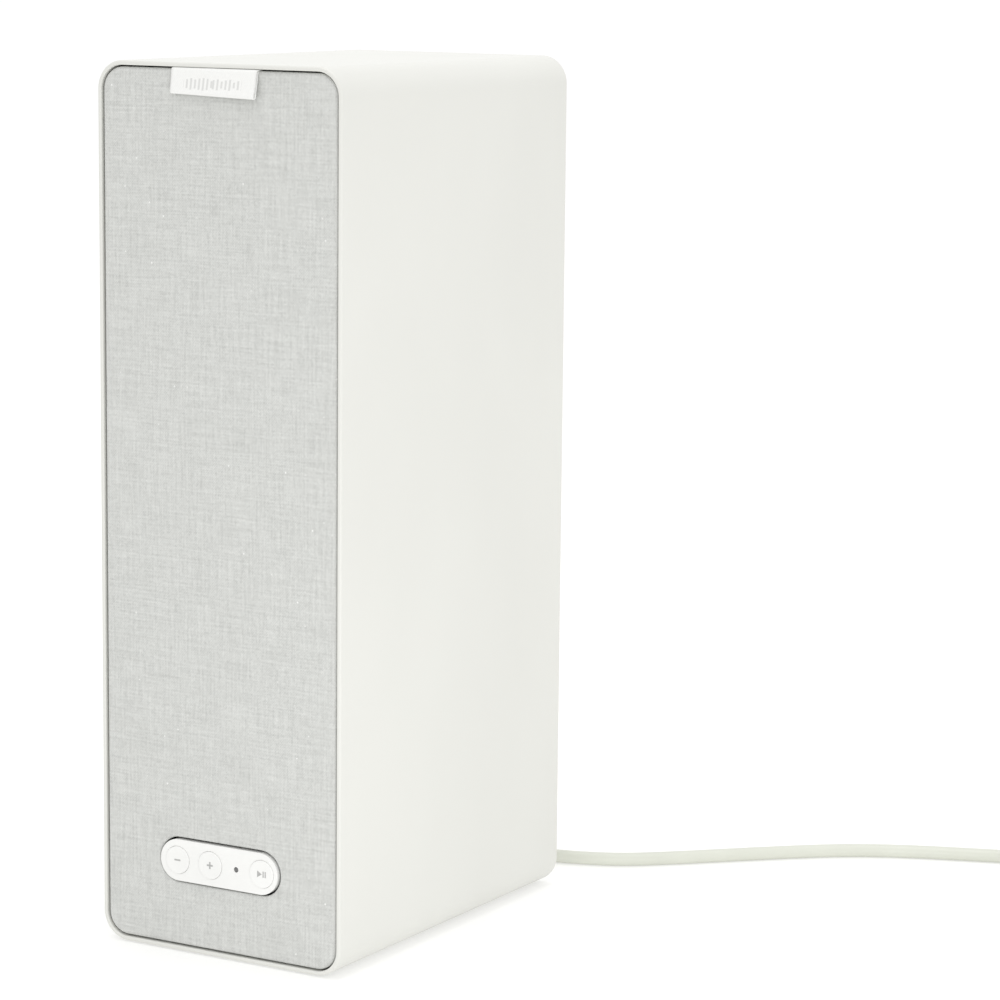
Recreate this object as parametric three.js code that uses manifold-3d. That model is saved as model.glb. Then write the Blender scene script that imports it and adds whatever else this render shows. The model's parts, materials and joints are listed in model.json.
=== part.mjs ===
// A bookshelf smart speaker: a white moulded sleeve closed by a rear panel and a front baffle, with a
// pull-off fabric grille, three buttons in a pill-shaped bezel, a woofer, a tweeter, a reflex port, its
// electronics, and a detachable power lead that lies on the floor behind it.
//
// Millimetres. +X is the speaker's right as seen from the front, +Y runs from the grille to the back and
// +Z is up. Parts are laid out about the cabinet's own middle, and the exported group is shifted so that the
// origin is the bottom centre of the speaker's bounding box, pull tab included.
import * as THREE from "three";
import { mergeVertices } from "three/addons/utils/BufferGeometryUtils.js";
import Module from "manifold-3d";

const wasm = await Module();
wasm.setup();

// ---------------------------------------------------------------- driving dimensions

const cabinet = { width: 100, depth: 150, height: 310, corner: 10, wall: 3, lip: 1.6, pocket: 16 };
const foot = { radius: 6, stand: 0.5, seat: 1.2, inset: 16 };
const boss = { radius: 3.5, length: 14, bore: 1.6, inset: 7 };
const rear = { thickness: 2.6, inset: 1.5 };
const recess = { width: 60, depth: 25, ceiling: 84, wall: 2 };
const hanger = {
  width: 30, height: 26, corner: 3, thickness: 1.6, drop: 42, eye: 5, slot: 2.6, rise: 7, room: 7, wall: 1.8,
};
const grille = {
  skin: 0.6, frame: 3.6, border: 6, rib: 3, columns: 3, pegRadius: 2.4, pegLength: 8, pegInset: 1.2,
  setBack: 0.4,
};
const gap = { grille: 0.8, fit: 0.3, seat: 0.2, moving: 0.4, button: 0.2, pill: 0.7, wire: 0.6 };
const tab = { width: 35, height: 9, thickness: 1.2, reach: 2.8, shift: -1 };
const baffle = { thickness: 5, seal: 1, margin: 4.5 };
const pill = { width: 49.2, height: 14.8, centre: 33.2, face: 1.6, wall: 1, proud: 0.3 };
const button = { radius: 4.8, collar: 0.45, flange: 0.6, plunger: 1.2, travel: 0.6, proud: 0.3 };
const buttonPlaces = { button_minus: -17.4, button_plus: -3.6, button_play: 18 };
const lens = { place: 7.3, radius: 1, flange: 0.5 };
const buttonBoard = { thickness: 1.2, border: 1, switchSize: 4.6, switchHeight: 1.6 };
const woofer = {
  flange: 2.4, corner: 14, screwInset: 7, lip: 2.2, lipWidth: 2.6, roll: 2.7, rubber: 0.6,
  paper: 0.8, coneDepth: 13, neck: 10.1, former: 0.8, basket: 26, ribs: 4, steel: 4, magnet: 10,
  poleRadius: 24, capRadius: 13, capHeight: 4, stroke: 3,
};
const tweeter = {
  radius: 23, plate: 2.4, dome: 10.5, domeHeight: 4, silk: 0.6, motor: 16, motorDepth: 15, spacing: 4,
};
const port = { width: 60, height: 16, corner: 6, wall: 2, length: 55, flange: 3, mouth: 1.6, drop: 22 };
const screw = { head: 2.7, headHeight: 1.8, shank: 1.4, length: 10, recess: 0.9, slot: 0.7 };
const powerBoard = { side: 9, height: 56, thickness: 1.6, standoff: 6, lift: 30 };
const mainBoard = { depth: 70, height: 78, thickness: 1.6, standoff: 5, rearGap: 22 };
const transformer = { width: 24, height: 22, depth: 18 };
const capacitor = { radius: 6, length: 22 };
const heatSink = { width: 17.4, height: 20, depth: 14, fin: 1.4, fins: 5 };
const shield = { size: 32, height: 4 };
const antenna = { length: 36, height: 8, thickness: 1, drop: 45 };
const pad = { thickness: 4, depth: 70, lift: 90, clearance: 6 };
const wire = { radius: 1, sides: 6, steps: 10 };
const inlet = {
  place: -14, width: 20, depth: 12, height: 18, flange: 1.6, noseRadius: 3.6, noseSpread: 3.4, noseDepth: 11,
};
const ethernet = {
  place: 13, width: 16, depth: 14, height: 21, mouthWidth: 12, mouthDepth: 8, mouthHeight: 13,
};
const cord = { radius: 2.5, sides: 8, steps: 38 };
const connector = { body: 15, width: 15, depth: 8.6, corner: 4, relief: 20, reliefRadius: 4 };
// Two layers of turns, four beside each other in each.
const coil = { radius: 28.3, turns: 4, heading: Math.PI / 9, leadIn: 20, tail: 50, sides: 24 };
const plug = {
  length: 36, width: 26, nose: 12, height: 13.6, relief: 20, pinRadius: 2, pinLength: 19, pinSpread: 9.3,
};

// The lead's route from the connector to the coil: [x, y behind the rear rim, z].
const route = [
  [-13.7, -11.2, 36.7], [-12, -7.2, 26.7], [-8.8, -1.8, 19], [-3.6, 4.2, 13], [3.9, 10.7, 8.3],
  [11.9, 16, 5.5], [20.6, 20.5, 3.8], [30.7, 24.7, 2.8], [40.2, 27.8, 2.6], [50.9, 31.6, 2.6],
  [57.8, 35.1, 2.6], [64.1, 39.5, 2.6], [76, 50, 2.6], [87.6, 61, 2.6], [99.3, 72.1, 2.6],
  [111.2, 83, 2.6], [123.6, 93.1, 2.6], [136.9, 101.3, 2.6], [151, 108, 2.6], [168, 114.6, 2.6],
  [186, 121.3, 2.6],
];
const coilCentre = [235.7, 101.7];

// ---------------------------------------------------------------- places that follow from them

const front = -cabinet.depth / 2;
const back = cabinet.depth / 2;
const bottom = foot.stand;
const top = cabinet.height;
const middleZ = (top + bottom) / 2;
const innerWall = cabinet.width / 2 - cabinet.wall;
const panelInset = cabinet.lip + gap.fit;
const grilleInset = cabinet.lip + gap.grille;
const grilleFront = front + grille.setBack;
const grilleBack = grilleFront + grille.skin + grille.frame;
const shoulder = front + cabinet.pocket;
const baffleBack = shoulder - baffle.seal - 2 * gap.seat;
const baffleFront = baffleBack - baffle.thickness;
const baffleHalf = cabinet.width / 2 - panelInset;
const wooferHalf = baffleHalf - baffle.margin;
const tweeterZ = top - cabinet.lip - baffle.margin - tweeter.radius - tweeter.spacing;
const wooferZ = tweeterZ - tweeter.radius - wooferHalf - tweeter.spacing;
const portZ = wooferZ - wooferHalf - port.drop;
const rearOuter = back - rear.inset;
const rearInner = rearOuter - rear.thickness;
const rearShoulder = rearInner - gap.seat;
const recessFront = back - recess.depth;
const recessFloor = bottom + cabinet.wall + gap.fit + recess.wall;
const recessMiddle = back - recess.depth / 2;
const hangerZ = top - hanger.drop;
const powerBoardHalf = innerWall - powerBoard.side;
const powerBoardZ = recess.ceiling + powerBoard.lift + powerBoard.height / 2;
const powerBoardY = rearInner - powerBoard.standoff - gap.seat - powerBoard.thickness;
const mainBoardX = -innerWall + mainBoard.standoff;
const mainBoardY = back - mainBoard.rearGap - mainBoard.depth / 2;
const mainBoardZ = recess.ceiling + powerBoard.lift + mainBoard.height / 2;
const antennaZ = top - antenna.drop;
const pillFront = front - pill.proud;
const pillBack = baffleFront - gap.seat;
const capDepth = button.proud + pill.face + gap.button + button.flange + button.plunger;
const boardFront = pillFront - button.proud + capDepth + button.travel + buttonBoard.switchHeight + gap.seat;
const socketFace = recess.ceiling - gap.seat - inlet.flange;
const connectorTop = socketFace - gap.fit;
const connectorEnd = connectorTop - connector.body - connector.relief;
const outerTurn = coil.radius + (coil.turns - 1) * cord.radius;
const over = 1; // how far a cutting tool runs past the face that it opens

// ---------------------------------------------------------------- finishes

function finish(color, roughness, metalness = 0) {
  return new THREE.MeshStandardMaterial({ color, roughness, metalness });
}

const whiteShell = finish("#f2f2ee", 0.45);
const whiteCloth = finish("#d3d3cf", 0.95);
const tabCloth = finish("#f6f6f4", 0.9);
const whiteGloss = finish("#f7f7f5", 0.35);
const blackPlastic = finish("#232427", 0.6);
const rubber = finish("#2b2b2b", 0.85);
const paper = finish("#1d1d1f", 0.8);
const amber = finish("#b98a4a", 0.7);
const zinc = finish("#b9bcc0", 0.35, 1);
const ferrite = finish("#3a3b3d", 0.6);
const circuit = finish("#1f5a3c", 0.5);
const tin = finish("#c9cbcd", 0.3, 1);
const felt = finish("#6b6d70", 1);
const whiteVinyl = finish("#eceee6", 0.5);
const smokedLens = finish("#4b4b4b", 0.3);

// ---------------------------------------------------------------- shape helpers

// A rectangle with round corners in the X-Z plane, as a shape whose y is the model's z.
function roundedRect(width, height, corner, x = 0, z = 0) {
  const r = Math.max(0.4, Math.min(corner, width / 2 - 0.01, height / 2 - 0.01));
  const [x0, x1, z0, z1] = [x - width / 2, x + width / 2, z - height / 2, z + height / 2];
  const quarter = Math.PI / 2;
  return new THREE.Shape()
    .absarc(x1 - r, z1 - r, r, 0, quarter)
    .absarc(x0 + r, z1 - r, r, quarter, 2 * quarter)
    .absarc(x0 + r, z0 + r, r, 2 * quarter, 3 * quarter)
    .absarc(x1 - r, z0 + r, r, 3 * quarter, 4 * quarter);
}

function stadium(width, height, z) {
  return roundedRect(width, height, height / 2, 0, z);
}

// The cabinet's own outline, inset by so much all round.
function outline(inset) {
  const [width, height] = [cabinet.width - 2 * inset, top - bottom - 2 * inset];
  return roundedRect(width, height, cabinet.corner - inset, 0, middleZ);
}

// A shape in the X-Z plane, extruded from one Y to another.
function slab(shape, y0, y1, curveSegments = 2) {
  return new THREE.ExtrudeGeometry(shape, { depth: y1 - y0, bevelEnabled: false, curveSegments })
    .rotateX(Math.PI / 2)
    .translate(0, y1, 0);
}

// A shape in the X-Y plane, extruded from one Z to another.
function plinth(shape, z0, z1, curveSegments = 2) {
  return new THREE.ExtrudeGeometry(shape, { depth: z1 - z0, bevelEnabled: false, curveSegments })
    .translate(0, 0, z0);
}

function box(x0, x1, y0, y1, z0, z1) {
  return block([(x0 + x1) / 2, (y0 + y1) / 2, (z0 + z1) / 2], [x1 - x0, y1 - y0, z1 - z0]);
}

// A box by its middle and its whole sizes.
function block([x, y, z], [wide, deep, tall]) {
  return new THREE.BoxGeometry(wide, deep, tall).translate(x, y, z);
}

// A cylinder along Y, from one Y to another.
function rodY(radius, y0, y1, x = 0, z = 0, sides = 10) {
  return new THREE.CylinderGeometry(radius, radius, y1 - y0, sides).translate(x, (y0 + y1) / 2, z);
}

// A cylinder or cone along Z, from one Z to another.
function rodZ(radius, z0, z1, x = 0, y = 0, sides = 12, topRadius = radius) {
  return new THREE.CylinderGeometry(topRadius, radius, z1 - z0, sides)
    .rotateX(Math.PI / 2)
    .translate(x, y, (z0 + z1) / 2);
}

// A profile of [radius, y] points, in either order, spun about the Y axis.
function turned(profile, sides = 18) {
  const points = profile.map(([r, y]) => new THREE.Vector2(Math.max(r, 0), y));
  const onAxis = points[0].x === 0 && points.at(-1).x === 0;
  if (THREE.ShapeUtils.area(points) < 0) points.reverse();
  if (!onAxis) points.push(points[0].clone());
  return new THREE.LatheGeometry(points, sides);
}

// Profile points along an arc of an ellipse about [radius, y], from one angle to another.
function arcPoints([r, y], wide, high, from, to, steps) {
  return Array.from({ length: steps + 1 }, (_, i) => {
    const angle = from + ((to - from) * i) / steps;
    return [r + wide * Math.cos(angle), y - high * Math.sin(angle)];
  });
}

// A round cable along a smooth curve through its points.
function cable(points, radius, sides, steps) {
  const section = new THREE.Shape().absarc(0, 0, radius, 0, 2 * Math.PI);
  const places = points.map((p) => new THREE.Vector3(...p));
  const extrudePath = new THREE.CatmullRomCurve3(places, false, "centripetal");
  return new THREE.ExtrudeGeometry(section, { steps, extrudePath, curveSegments: sides / 2 });
}

// A geometry as a manifold-3d solid, and back.
function solid(geometry) {
  const bare = new THREE.BufferGeometry().setAttribute("position", geometry.getAttribute("position"));
  const merged = mergeVertices(geometry.index ? bare.setIndex(geometry.index) : bare, 1e-3);
  return new wasm.Manifold(
    new wasm.Mesh({
      numProp: 3,
      vertProperties: merged.getAttribute("position").array,
      triVerts: new Uint32Array(merged.index.array),
    }),
  );
}

function geometryOf(manifold) {
  const { vertProperties, triVerts } = manifold.getMesh();
  const made = new THREE.BufferGeometry()
    .setAttribute("position", new THREE.BufferAttribute(vertProperties, 3))
    .setIndex(new THREE.BufferAttribute(triVerts, 1));
  made.computeVertexNormals();
  return made;
}

function fuse(...pieces) {
  return geometryOf(pieces.map(solid).reduce((made, piece) => made.add(piece)));
}

function cut(body, ...tools) {
  return geometryOf(tools.map(solid).reduce((made, tool) => made.subtract(tool), solid(body)));
}

function piece(name, geometry, material, x = 0, y = 0, z = 0) {
  const mesh = new THREE.Mesh(geometry, material);
  mesh.name = name;
  mesh.position.set(x, y, z);
  return mesh;
}

function assembly(y, z, ...pieces) {
  const group = new THREE.Group();
  group.position.set(0, y, z);
  return group.add(...pieces);
}

// ---------------------------------------------------------------- repeated places

const corners = [[-1, 1], [1, 1], [-1, -1], [1, -1]];
const bossPlaces = corners.map(([sx, sz]) => [
  sx * (cabinet.width / 2 - boss.inset), middleZ + sz * ((top - bottom) / 2 - boss.inset),
]);
const footPlaces = corners.map(([sx, sy]) => [
  sx * (cabinet.width / 2 - foot.inset), sy * (cabinet.depth / 2 - foot.inset),
]);
const wooferScrewPlaces = corners.map(([sx, sz]) => [
  sx * (wooferHalf - woofer.screwInset), sz * (wooferHalf - woofer.screwInset),
]);
// Six push-in pegs down the two long sides of the grille, clear of the corner screws and the drivers.
const pegSide = baffleHalf - grille.pegRadius - grille.pegInset;
const pegHeights = [bottom + 18, (bottom + portZ) / 2, top - 18];
const pegPlaces = pegHeights.flatMap((z) => [[-pegSide, z], [pegSide, z]]);

// ---------------------------------------------------------------- cabinet

// The moulded tube: a thick wall, a thin lip round each open end, corner bosses and four seats for the feet.
function cabinetSleeve() {
  const tube = cut(
    slab(outline(0), front, back, 5),
    slab(outline(cabinet.wall), front - over, back + over, 5),
    slab(outline(cabinet.lip), front - over, shoulder, 5),
    slab(outline(cabinet.lip), rearShoulder, back + over, 5),
  );
  const bosses = bossPlaces.flatMap(([x, z]) => [
    rodY(boss.radius, shoulder, shoulder + boss.length, x, z),
    rodY(boss.radius, rearShoulder - boss.length, rearShoulder, x, z),
  ]);
  const bores = bossPlaces.map(([x, z]) => rodY(boss.bore, front, back, x, z, 8));
  const seats = footPlaces.map(([x, y]) =>
    rodZ(foot.radius + gap.fit, bottom - over, bottom + foot.seat, x, y, 16),
  );
  return cut(fuse(tube, ...bosses), ...bores, ...seats);
}

function footPad() {
  return rodZ(foot.radius, 0, foot.stand + foot.seat - gap.seat, 0, 0, 16);
}

// The closing panel: the connector tray at its foot, the hanger's pocket above, and the power board's posts.
function rearPanel() {
  const trayHalf = recess.width / 2;
  const pocketFront = rearOuter - hanger.thickness - hanger.room;
  const solids = [
    slab(outline(panelInset), rearInner, rearOuter, 5),
    box(
      -trayHalf - recess.wall, trayHalf + recess.wall, recessFront - recess.wall, rearInner + over,
      recessFloor - recess.wall, recess.ceiling + recess.wall,
    ),
    box(
      -hanger.width / 2, hanger.width / 2, pocketFront - hanger.wall, rearInner + over,
      hangerZ - hanger.height / 2, hangerZ + hanger.height / 2,
    ),
    ...corners.map(([sx, sz]) =>
      rodY(
        3, rearInner - powerBoard.standoff, rearInner + over,
        sx * (powerBoardHalf - 5), powerBoardZ + sz * (powerBoard.height / 2 - 5), 8,
      ),
    ),
  ];
  const hollows = [
    box(-trayHalf, trayHalf, recessFront, back + over, recessFloor, recess.ceiling),
    box(
      -hanger.width / 2 + hanger.wall, hanger.width / 2 - hanger.wall, pocketFront, back + over,
      hangerZ - hanger.height / 2 + hanger.wall, hangerZ + hanger.height / 2 - hanger.wall,
    ),
    slab(
      roundedRect(hanger.width, hanger.height, hanger.corner, 0, hangerZ),
      rearOuter - hanger.thickness - gap.seat, back, 5,
    ),
    ...[inlet, ethernet].map((part) =>
      block(
        [part.place, recessMiddle, recess.ceiling + recess.wall / 2],
        [part.width + 2 * gap.fit, part.depth + 2 * gap.fit, recess.wall + 2 * over],
      ),
    ),
    ...bossPlaces.flatMap(([x, z]) => [
      rodY(screw.shank + gap.fit, rearInner - over, back, x, z, 8),
      rodY(screw.head + gap.fit, rearOuter - screw.recess, back, x, z),
    ]),
  ];
  return cut(fuse(...solids), ...hollows);
}

// A steel plate with a keyhole: a round eye for a hook's head, and a slot above it for its neck.
function hangerPlate() {
  const plate = roundedRect(
    hanger.width - 2 * gap.fit, hanger.height - 2 * gap.fit, hanger.corner - gap.fit,
  );
  const eyeZ = -hanger.rise / 2;
  const open = Math.asin(hanger.slot / hanger.eye);
  const hole = new THREE.Path()
    .absarc(0, eyeZ, hanger.eye, Math.PI / 2 + open, Math.PI / 2 - open + 2 * Math.PI)
    .absarc(0, eyeZ + hanger.rise, hanger.slot, 0, Math.PI);
  plate.holes.push(hole);
  return slab(plate, -hanger.thickness, 0, 5);
}

// A pan-head screw pointing towards +Y, with the underside of its head at y 0 and a cross recess.
function panScrew() {
  const { head, headHeight, shank, length, slot } = screw;
  const body = turned(
    [[0, -headHeight], [head - 0.6, -headHeight], [head, -headHeight / 2], [head, 0], [shank, 0],
      [0, length]],
    8,
  );
  const recessMiddleY = -headHeight - over / 2 + 0.4;
  const arm = head * 1.2;
  return cut(
    body,
    block([0, recessMiddleY, 0], [arm, over + 0.8, slot]),
    block([0, recessMiddleY, 0], [slot, over + 0.8, arm]),
  );
}

function screws(stem, places, y) {
  return places.map(([x, z], i) => piece(`${stem}_${i + 1}`, panScrew(), zinc, x, y, z));
}

// ---------------------------------------------------------------- baffle and port

function frontBaffle() {
  const through = [baffleFront - over, baffleBack + over];
  const flangeRoom = 2 * (wooferHalf + gap.fit);
  const mouthRoom = 2 * (port.flange + gap.fit);
  const openings = [
    rodY(wooferMouth + 2 + gap.fit, ...through, 0, wooferZ, 24),
    slab(
      roundedRect(flangeRoom, flangeRoom, woofer.corner, 0, wooferZ),
      baffleFront - over, baffleFront + woofer.flange,
    ),
    rodY(tweeter.motor + gap.moving, ...through, 0, tweeterZ, 20),
    rodY(tweeter.radius + gap.fit, baffleFront - over, baffleFront + tweeter.plate, 0, tweeterZ, 20),
    slab(
      roundedRect(port.width + 2 * gap.fit, port.height + 2 * gap.fit, port.corner, 0, portZ),
      ...through,
    ),
    slab(
      roundedRect(port.width + mouthRoom, port.height + mouthRoom, port.corner + port.flange, 0, portZ),
      baffleFront - over, baffleFront + port.mouth,
    ),
    block([0, baffleFront, pill.centre], [pill.width / 2, 2 * baffle.thickness + 2 * over, pill.height / 2]),
    ...bossPlaces.flatMap(([x, z]) => [
      rodY(screw.shank + gap.fit, ...through, x, z, 8),
      rodY(screw.head + gap.fit, baffleFront - over, baffleFront + screw.recess, x, z),
    ]),
    ...wooferScrewPlaces.map(([x, z]) => rodY(screw.shank + gap.fit, ...through, x, wooferZ + z, 8)),
    ...pegPlaces.map(([x, z]) => rodY(grille.pegRadius + gap.fit, ...through, x, z, 10)),
  ];
  return cut(slab(outline(panelInset), baffleFront, baffleBack), ...openings);
}

// The foam ring that seals the baffle against the sleeve's shoulder, with a pad over each corner boss.
function baffleSeal() {
  const ring = outline(panelInset);
  ring.holes.push(new THREE.Path(outline(cabinet.wall + gap.seat).getPoints(2)));
  const pads = bossPlaces.map(([x, z]) => rodY(boss.radius, -baffle.seal, 0, x, z));
  const bores = bossPlaces.map(([x, z]) => rodY(boss.bore + gap.fit, -baffle.seal - over, over, x, z, 8));
  return cut(fuse(slab(ring, -baffle.seal, 0), ...pads), ...bores);
}

// The reflex port: a flat duct with a flanged mouth that sits in the baffle's front.
function bassPort() {
  const { width, height, corner, wall, length, flange } = port;
  const inner = [width - 2 * wall, height - 2 * wall];
  return cut(
    fuse(
      slab(roundedRect(width, height, corner), 0, length),
      slab(roundedRect(width + 2 * flange, height + 2 * flange, corner + flange), 0, port.mouth - gap.seat),
    ),
    slab(roundedRect(...inner, corner - wall), -over, length + over),
    slab(roundedRect(inner[0] + wall, inner[1] + wall, corner - wall / 2), -over, wall / 2),
  );
}

// ---------------------------------------------------------------- grille

// The stiff lattice behind the cloth, solid at the foot round the control window.
function grilleFrame() {
  const inset = grilleInset + grille.skin + gap.seat;
  const spare = 2 * (gap.pill + grille.skin + gap.seat);
  const window = [pill.width + spare, pill.height + spare];
  const wide = cabinet.width - 2 * (inset + grille.border);
  const low = pill.centre + window[1] / 2 + grille.border;
  const high = top - inset - grille.border;
  const cell = (wide - (grille.columns - 1) * grille.rib) / grille.columns;
  const rows = Math.round((high - low) / (cell + grille.rib));
  const tall = (high - low - (rows - 1) * grille.rib) / rows;
  const cells = [];
  for (let row = 0; row < rows; row += 1) {
    for (let column = 0; column < grille.columns; column += 1) {
      const x = (column - (grille.columns - 1) / 2) * (cell + grille.rib);
      const z = low + tall / 2 + row * (tall + grille.rib);
      cells.push(block([x, grilleFront, z], [cell, 4 * grille.frame, tall]));
    }
  }
  const pegs = pegPlaces.map(([x, z]) =>
    rodY(grille.pegRadius, grilleBack - over, grilleBack + grille.pegLength, x, z, 10),
  );
  return fuse(
    cut(
      slab(outline(inset), grilleFront + grille.skin + gap.seat, grilleBack, 5),
      slab(stadium(...window, pill.centre), grilleFront, grilleBack + over, 5),
      ...cells,
    ),
    ...pegs,
  );
}

// The cloth as it lies over the frame: a shallow open-backed tray with a pill-shaped window.
function grilleFabric() {
  return cut(
    slab(outline(grilleInset), grilleFront, grilleBack, 5),
    slab(outline(grilleInset + grille.skin), grilleFront + grille.skin, grilleBack + over, 5),
    slab(
      stadium(pill.width + 2 * gap.pill, pill.height + 2 * gap.pill, pill.centre),
      grilleFront - over, grilleBack, 5,
    ),
  );
}

// A folded ribbon that leaves the gap above the grille and hangs before the cloth, its lower edge off it.
function pullTab() {
  const z = top - grilleInset - gap.seat;
  const clear = grilleFront - gap.fit;
  const edge = front - tab.reach;
  const side = new THREE.Shape()
    .moveTo(clear, z)
    .lineTo(clear - tab.thickness, z)
    .lineTo(edge, z - tab.height)
    .lineTo(edge + tab.thickness, z - tab.height);
  const axes = [new THREE.Vector3(0, 1, 0), new THREE.Vector3(0, 0, 1), new THREE.Vector3(1, 0, 0)];
  return new THREE.ExtrudeGeometry(side, { depth: tab.width, bevelEnabled: false })
    .applyMatrix4(new THREE.Matrix4().makeBasis(...axes))
    .translate(tab.shift - tab.width / 2, 0, 0);
}

// ---------------------------------------------------------------- controls

function controlBezel() {
  const through = [pillFront - over, pillFront + pill.face + over];
  const holes = Object.values(buttonPlaces).map((x) =>
    rodY(button.radius + gap.button, ...through, x, pill.centre, 28),
  );
  return cut(
    slab(stadium(pill.width, pill.height, pill.centre), pillFront, pillBack, 8),
    slab(
      stadium(pill.width - 2 * pill.wall, pill.height - 2 * pill.wall, pill.centre),
      pillFront + pill.face, pillBack + over, 8,
    ),
    rodY(lens.radius, ...through, lens.place, pill.centre, 8),
    ...holes,
  );
}

// A button's cap, with the flange that keeps it behind the bezel and the plunger that meets its switch.
function buttonCap() {
  const behind = button.proud + pill.face + gap.button;
  const rim = button.radius + button.collar;
  return turned(
    [[0, 0.25], [button.radius - 0.8, 0], [button.radius, 0.35], [button.radius, behind], [rim, behind],
      [rim, behind + button.flange], [1.3, behind + button.flange], [1.3, capDepth], [0, capDepth]],
    28,
  );
}

function statusLens() {
  const behind = pill.face + gap.button;
  const neck = lens.radius - gap.seat;
  return turned(
    [[0, 0.1], [neck, 0.1], [neck, behind], [neck + lens.flange, behind], [neck + lens.flange, behind + 0.8],
      [0, behind + 0.8]],
    8,
  );
}

// The board behind the bezel, with a tact switch for each button and the status light.
function controlBoard() {
  const inset = 2 * (pill.wall + buttonBoard.border);
  const { switchSize, switchHeight, thickness } = buttonBoard;
  return fuse(
    slab(stadium(pill.width - inset, pill.height - inset, pill.centre), boardFront, boardFront + thickness),
    ...Object.values(buttonPlaces).map((x) =>
      block(
        [x, boardFront - switchHeight / 2 + 0.1, pill.centre],
        [switchSize, switchHeight + 0.2, switchSize],
      ),
    ),
    block([lens.place, boardFront - 0.3, pill.centre], [2, 1, 1.4]),
  );
}

// ---------------------------------------------------------------- woofer, about its axis, y 0 at its front

const rollOuter = wooferHalf - woofer.lip - woofer.lipWidth;
const coneEdge = rollOuter - 2 * woofer.roll - 0.6;
const wooferMouth = rollOuter - 0.6;
const coneSlope = woofer.coneDepth / (coneEdge - woofer.neck);
const formerOuter = woofer.neck - gap.fit;
const poleRadius = Math.min(woofer.poleRadius, coneEdge - 6);
const plateY = woofer.basket + gap.seat;
const magnetY = plateY + woofer.steel + gap.seat;
const yokeY = magnetY + woofer.magnet + gap.seat;

// The pressed chassis: a square flange, and a conical cage of ribs that narrows to the motor.
function wooferBasket() {
  const { flange, basket } = woofer;
  const wall = 1.6;
  const rearRadius = poleRadius + 2;
  const hole = formerOuter + 3;
  const cage = turned(
    [[wooferMouth, 0], [wooferMouth + 2, 0], [wooferMouth + 1, flange + 1], [rearRadius, basket - wall],
      [rearRadius, basket], [hole, basket], [hole, basket - wall], [rearRadius - wall, basket - wall - 0.4],
      [wooferMouth - wall + 1, flange + 1]],
    24,
  );
  const plate = cut(
    slab(roundedRect(2 * wooferHalf, 2 * wooferHalf, woofer.corner), 0, flange - gap.seat),
    rodY(wooferMouth + 1, -over, flange + over, 0, 0, 24),
    ...wooferScrewPlaces.map(([x, z]) => rodY(screw.shank + gap.fit, -over, flange + over, x, z, 8)),
  );
  const windows = Array.from({ length: woofer.ribs }, (_, i) =>
    box(-9, 9, flange + 4, basket - 4, 0, wooferHalf * 2).rotateY(((i + 0.5) * 2 * Math.PI) / woofer.ribs),
  );
  return fuse(cut(cage, ...windows), plate);
}

// A half-roll of rubber from the basket's lip to the cone's edge.
function wooferSurround() {
  const { roll, rubber: skin, lipWidth } = woofer;
  const middle = [rollOuter - roll, -gap.seat];
  return turned([
    [rollOuter + lipWidth, -gap.seat],
    [rollOuter + lipWidth, -gap.seat - skin],
    ...arcPoints(middle, roll, roll, 0.25, Math.PI - 0.25, 4),
    [coneEdge - 2, -gap.seat - skin],
    [coneEdge - 2, -gap.seat],
    ...arcPoints(middle, roll - skin, roll - skin, Math.PI, 0, 4),
  ], 24);
}

function coneFace(radius) {
  return 0.4 + (coneEdge - radius) * coneSlope;
}

function wooferCone() {
  const { neck, paper: skin } = woofer;
  const bend = neck + 8;
  return turned(
    [[coneEdge, coneFace(coneEdge)], [bend, coneFace(bend) + 0.8], [neck, coneFace(neck)],
      [neck, coneFace(neck) + skin + 0.4], [bend, coneFace(bend) + 0.8 + skin],
      [coneEdge, coneFace(coneEdge) + skin]],
    24,
  );
}

function wooferDustCap() {
  const rim = [0, coneFace(woofer.capRadius) - gap.fit];
  const quarter = Math.PI / 2;
  return turned([
    ...arcPoints(rim, woofer.capRadius, woofer.capHeight, 0, quarter, 4),
    ...arcPoints(rim, woofer.capRadius - 1, woofer.capHeight - 0.6, quarter, 0, 4),
  ].map(([r, y]) => [r < 0.01 ? 0 : r, y]));
}

function wooferVoiceCoil() {
  const start = woofer.coneDepth - 0.2;
  const end = magnetY + woofer.stroke - 0.5;
  return turned([
    [formerOuter - woofer.former, start], [formerOuter, start], [formerOuter, end],
    [formerOuter - woofer.former, end],
  ]);
}

// The corrugated cloth disc that centres the voice coil.
function wooferSpider() {
  const inner = formerOuter + gap.fit;
  const outer = poleRadius - 1.2;
  const waves = 5;
  const edge = (lift) =>
    Array.from({ length: waves + 1 }, (_, i) => [
      inner + ((outer - inner) * i) / waves, woofer.basket - 5.4 + lift + (i % 2 ? 0.9 : -0.9),
    ]);
  return turned([...edge(0), ...edge(0.7).reverse()]);
}

function wooferTopPlate() {
  const hole = formerOuter + 0.6;
  const rear = plateY + woofer.steel;
  return turned([[hole, plateY], [poleRadius, plateY], [poleRadius, rear], [hole, rear]]);
}

function wooferMagnet() {
  const outer = poleRadius + 3;
  const hole = formerOuter + 3.6;
  const rear = magnetY + woofer.magnet;
  return turned([
    [hole, magnetY], [outer - 0.8, magnetY], [outer, magnetY + 0.8], [outer, rear - 0.8],
    [outer - 0.8, rear], [hole, rear],
  ]);
}

function wooferYoke() {
  const pole = formerOuter - woofer.former - 0.7;
  const rear = yokeY + woofer.steel;
  return turned([
    [0, plateY], [pole, plateY], [pole, yokeY], [poleRadius, yokeY], [poleRadius, rear - 1],
    [poleRadius - 1, rear], [0, rear],
  ]);
}

// ---------------------------------------------------------------- tweeter, about its axis, y 0 at its front

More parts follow.
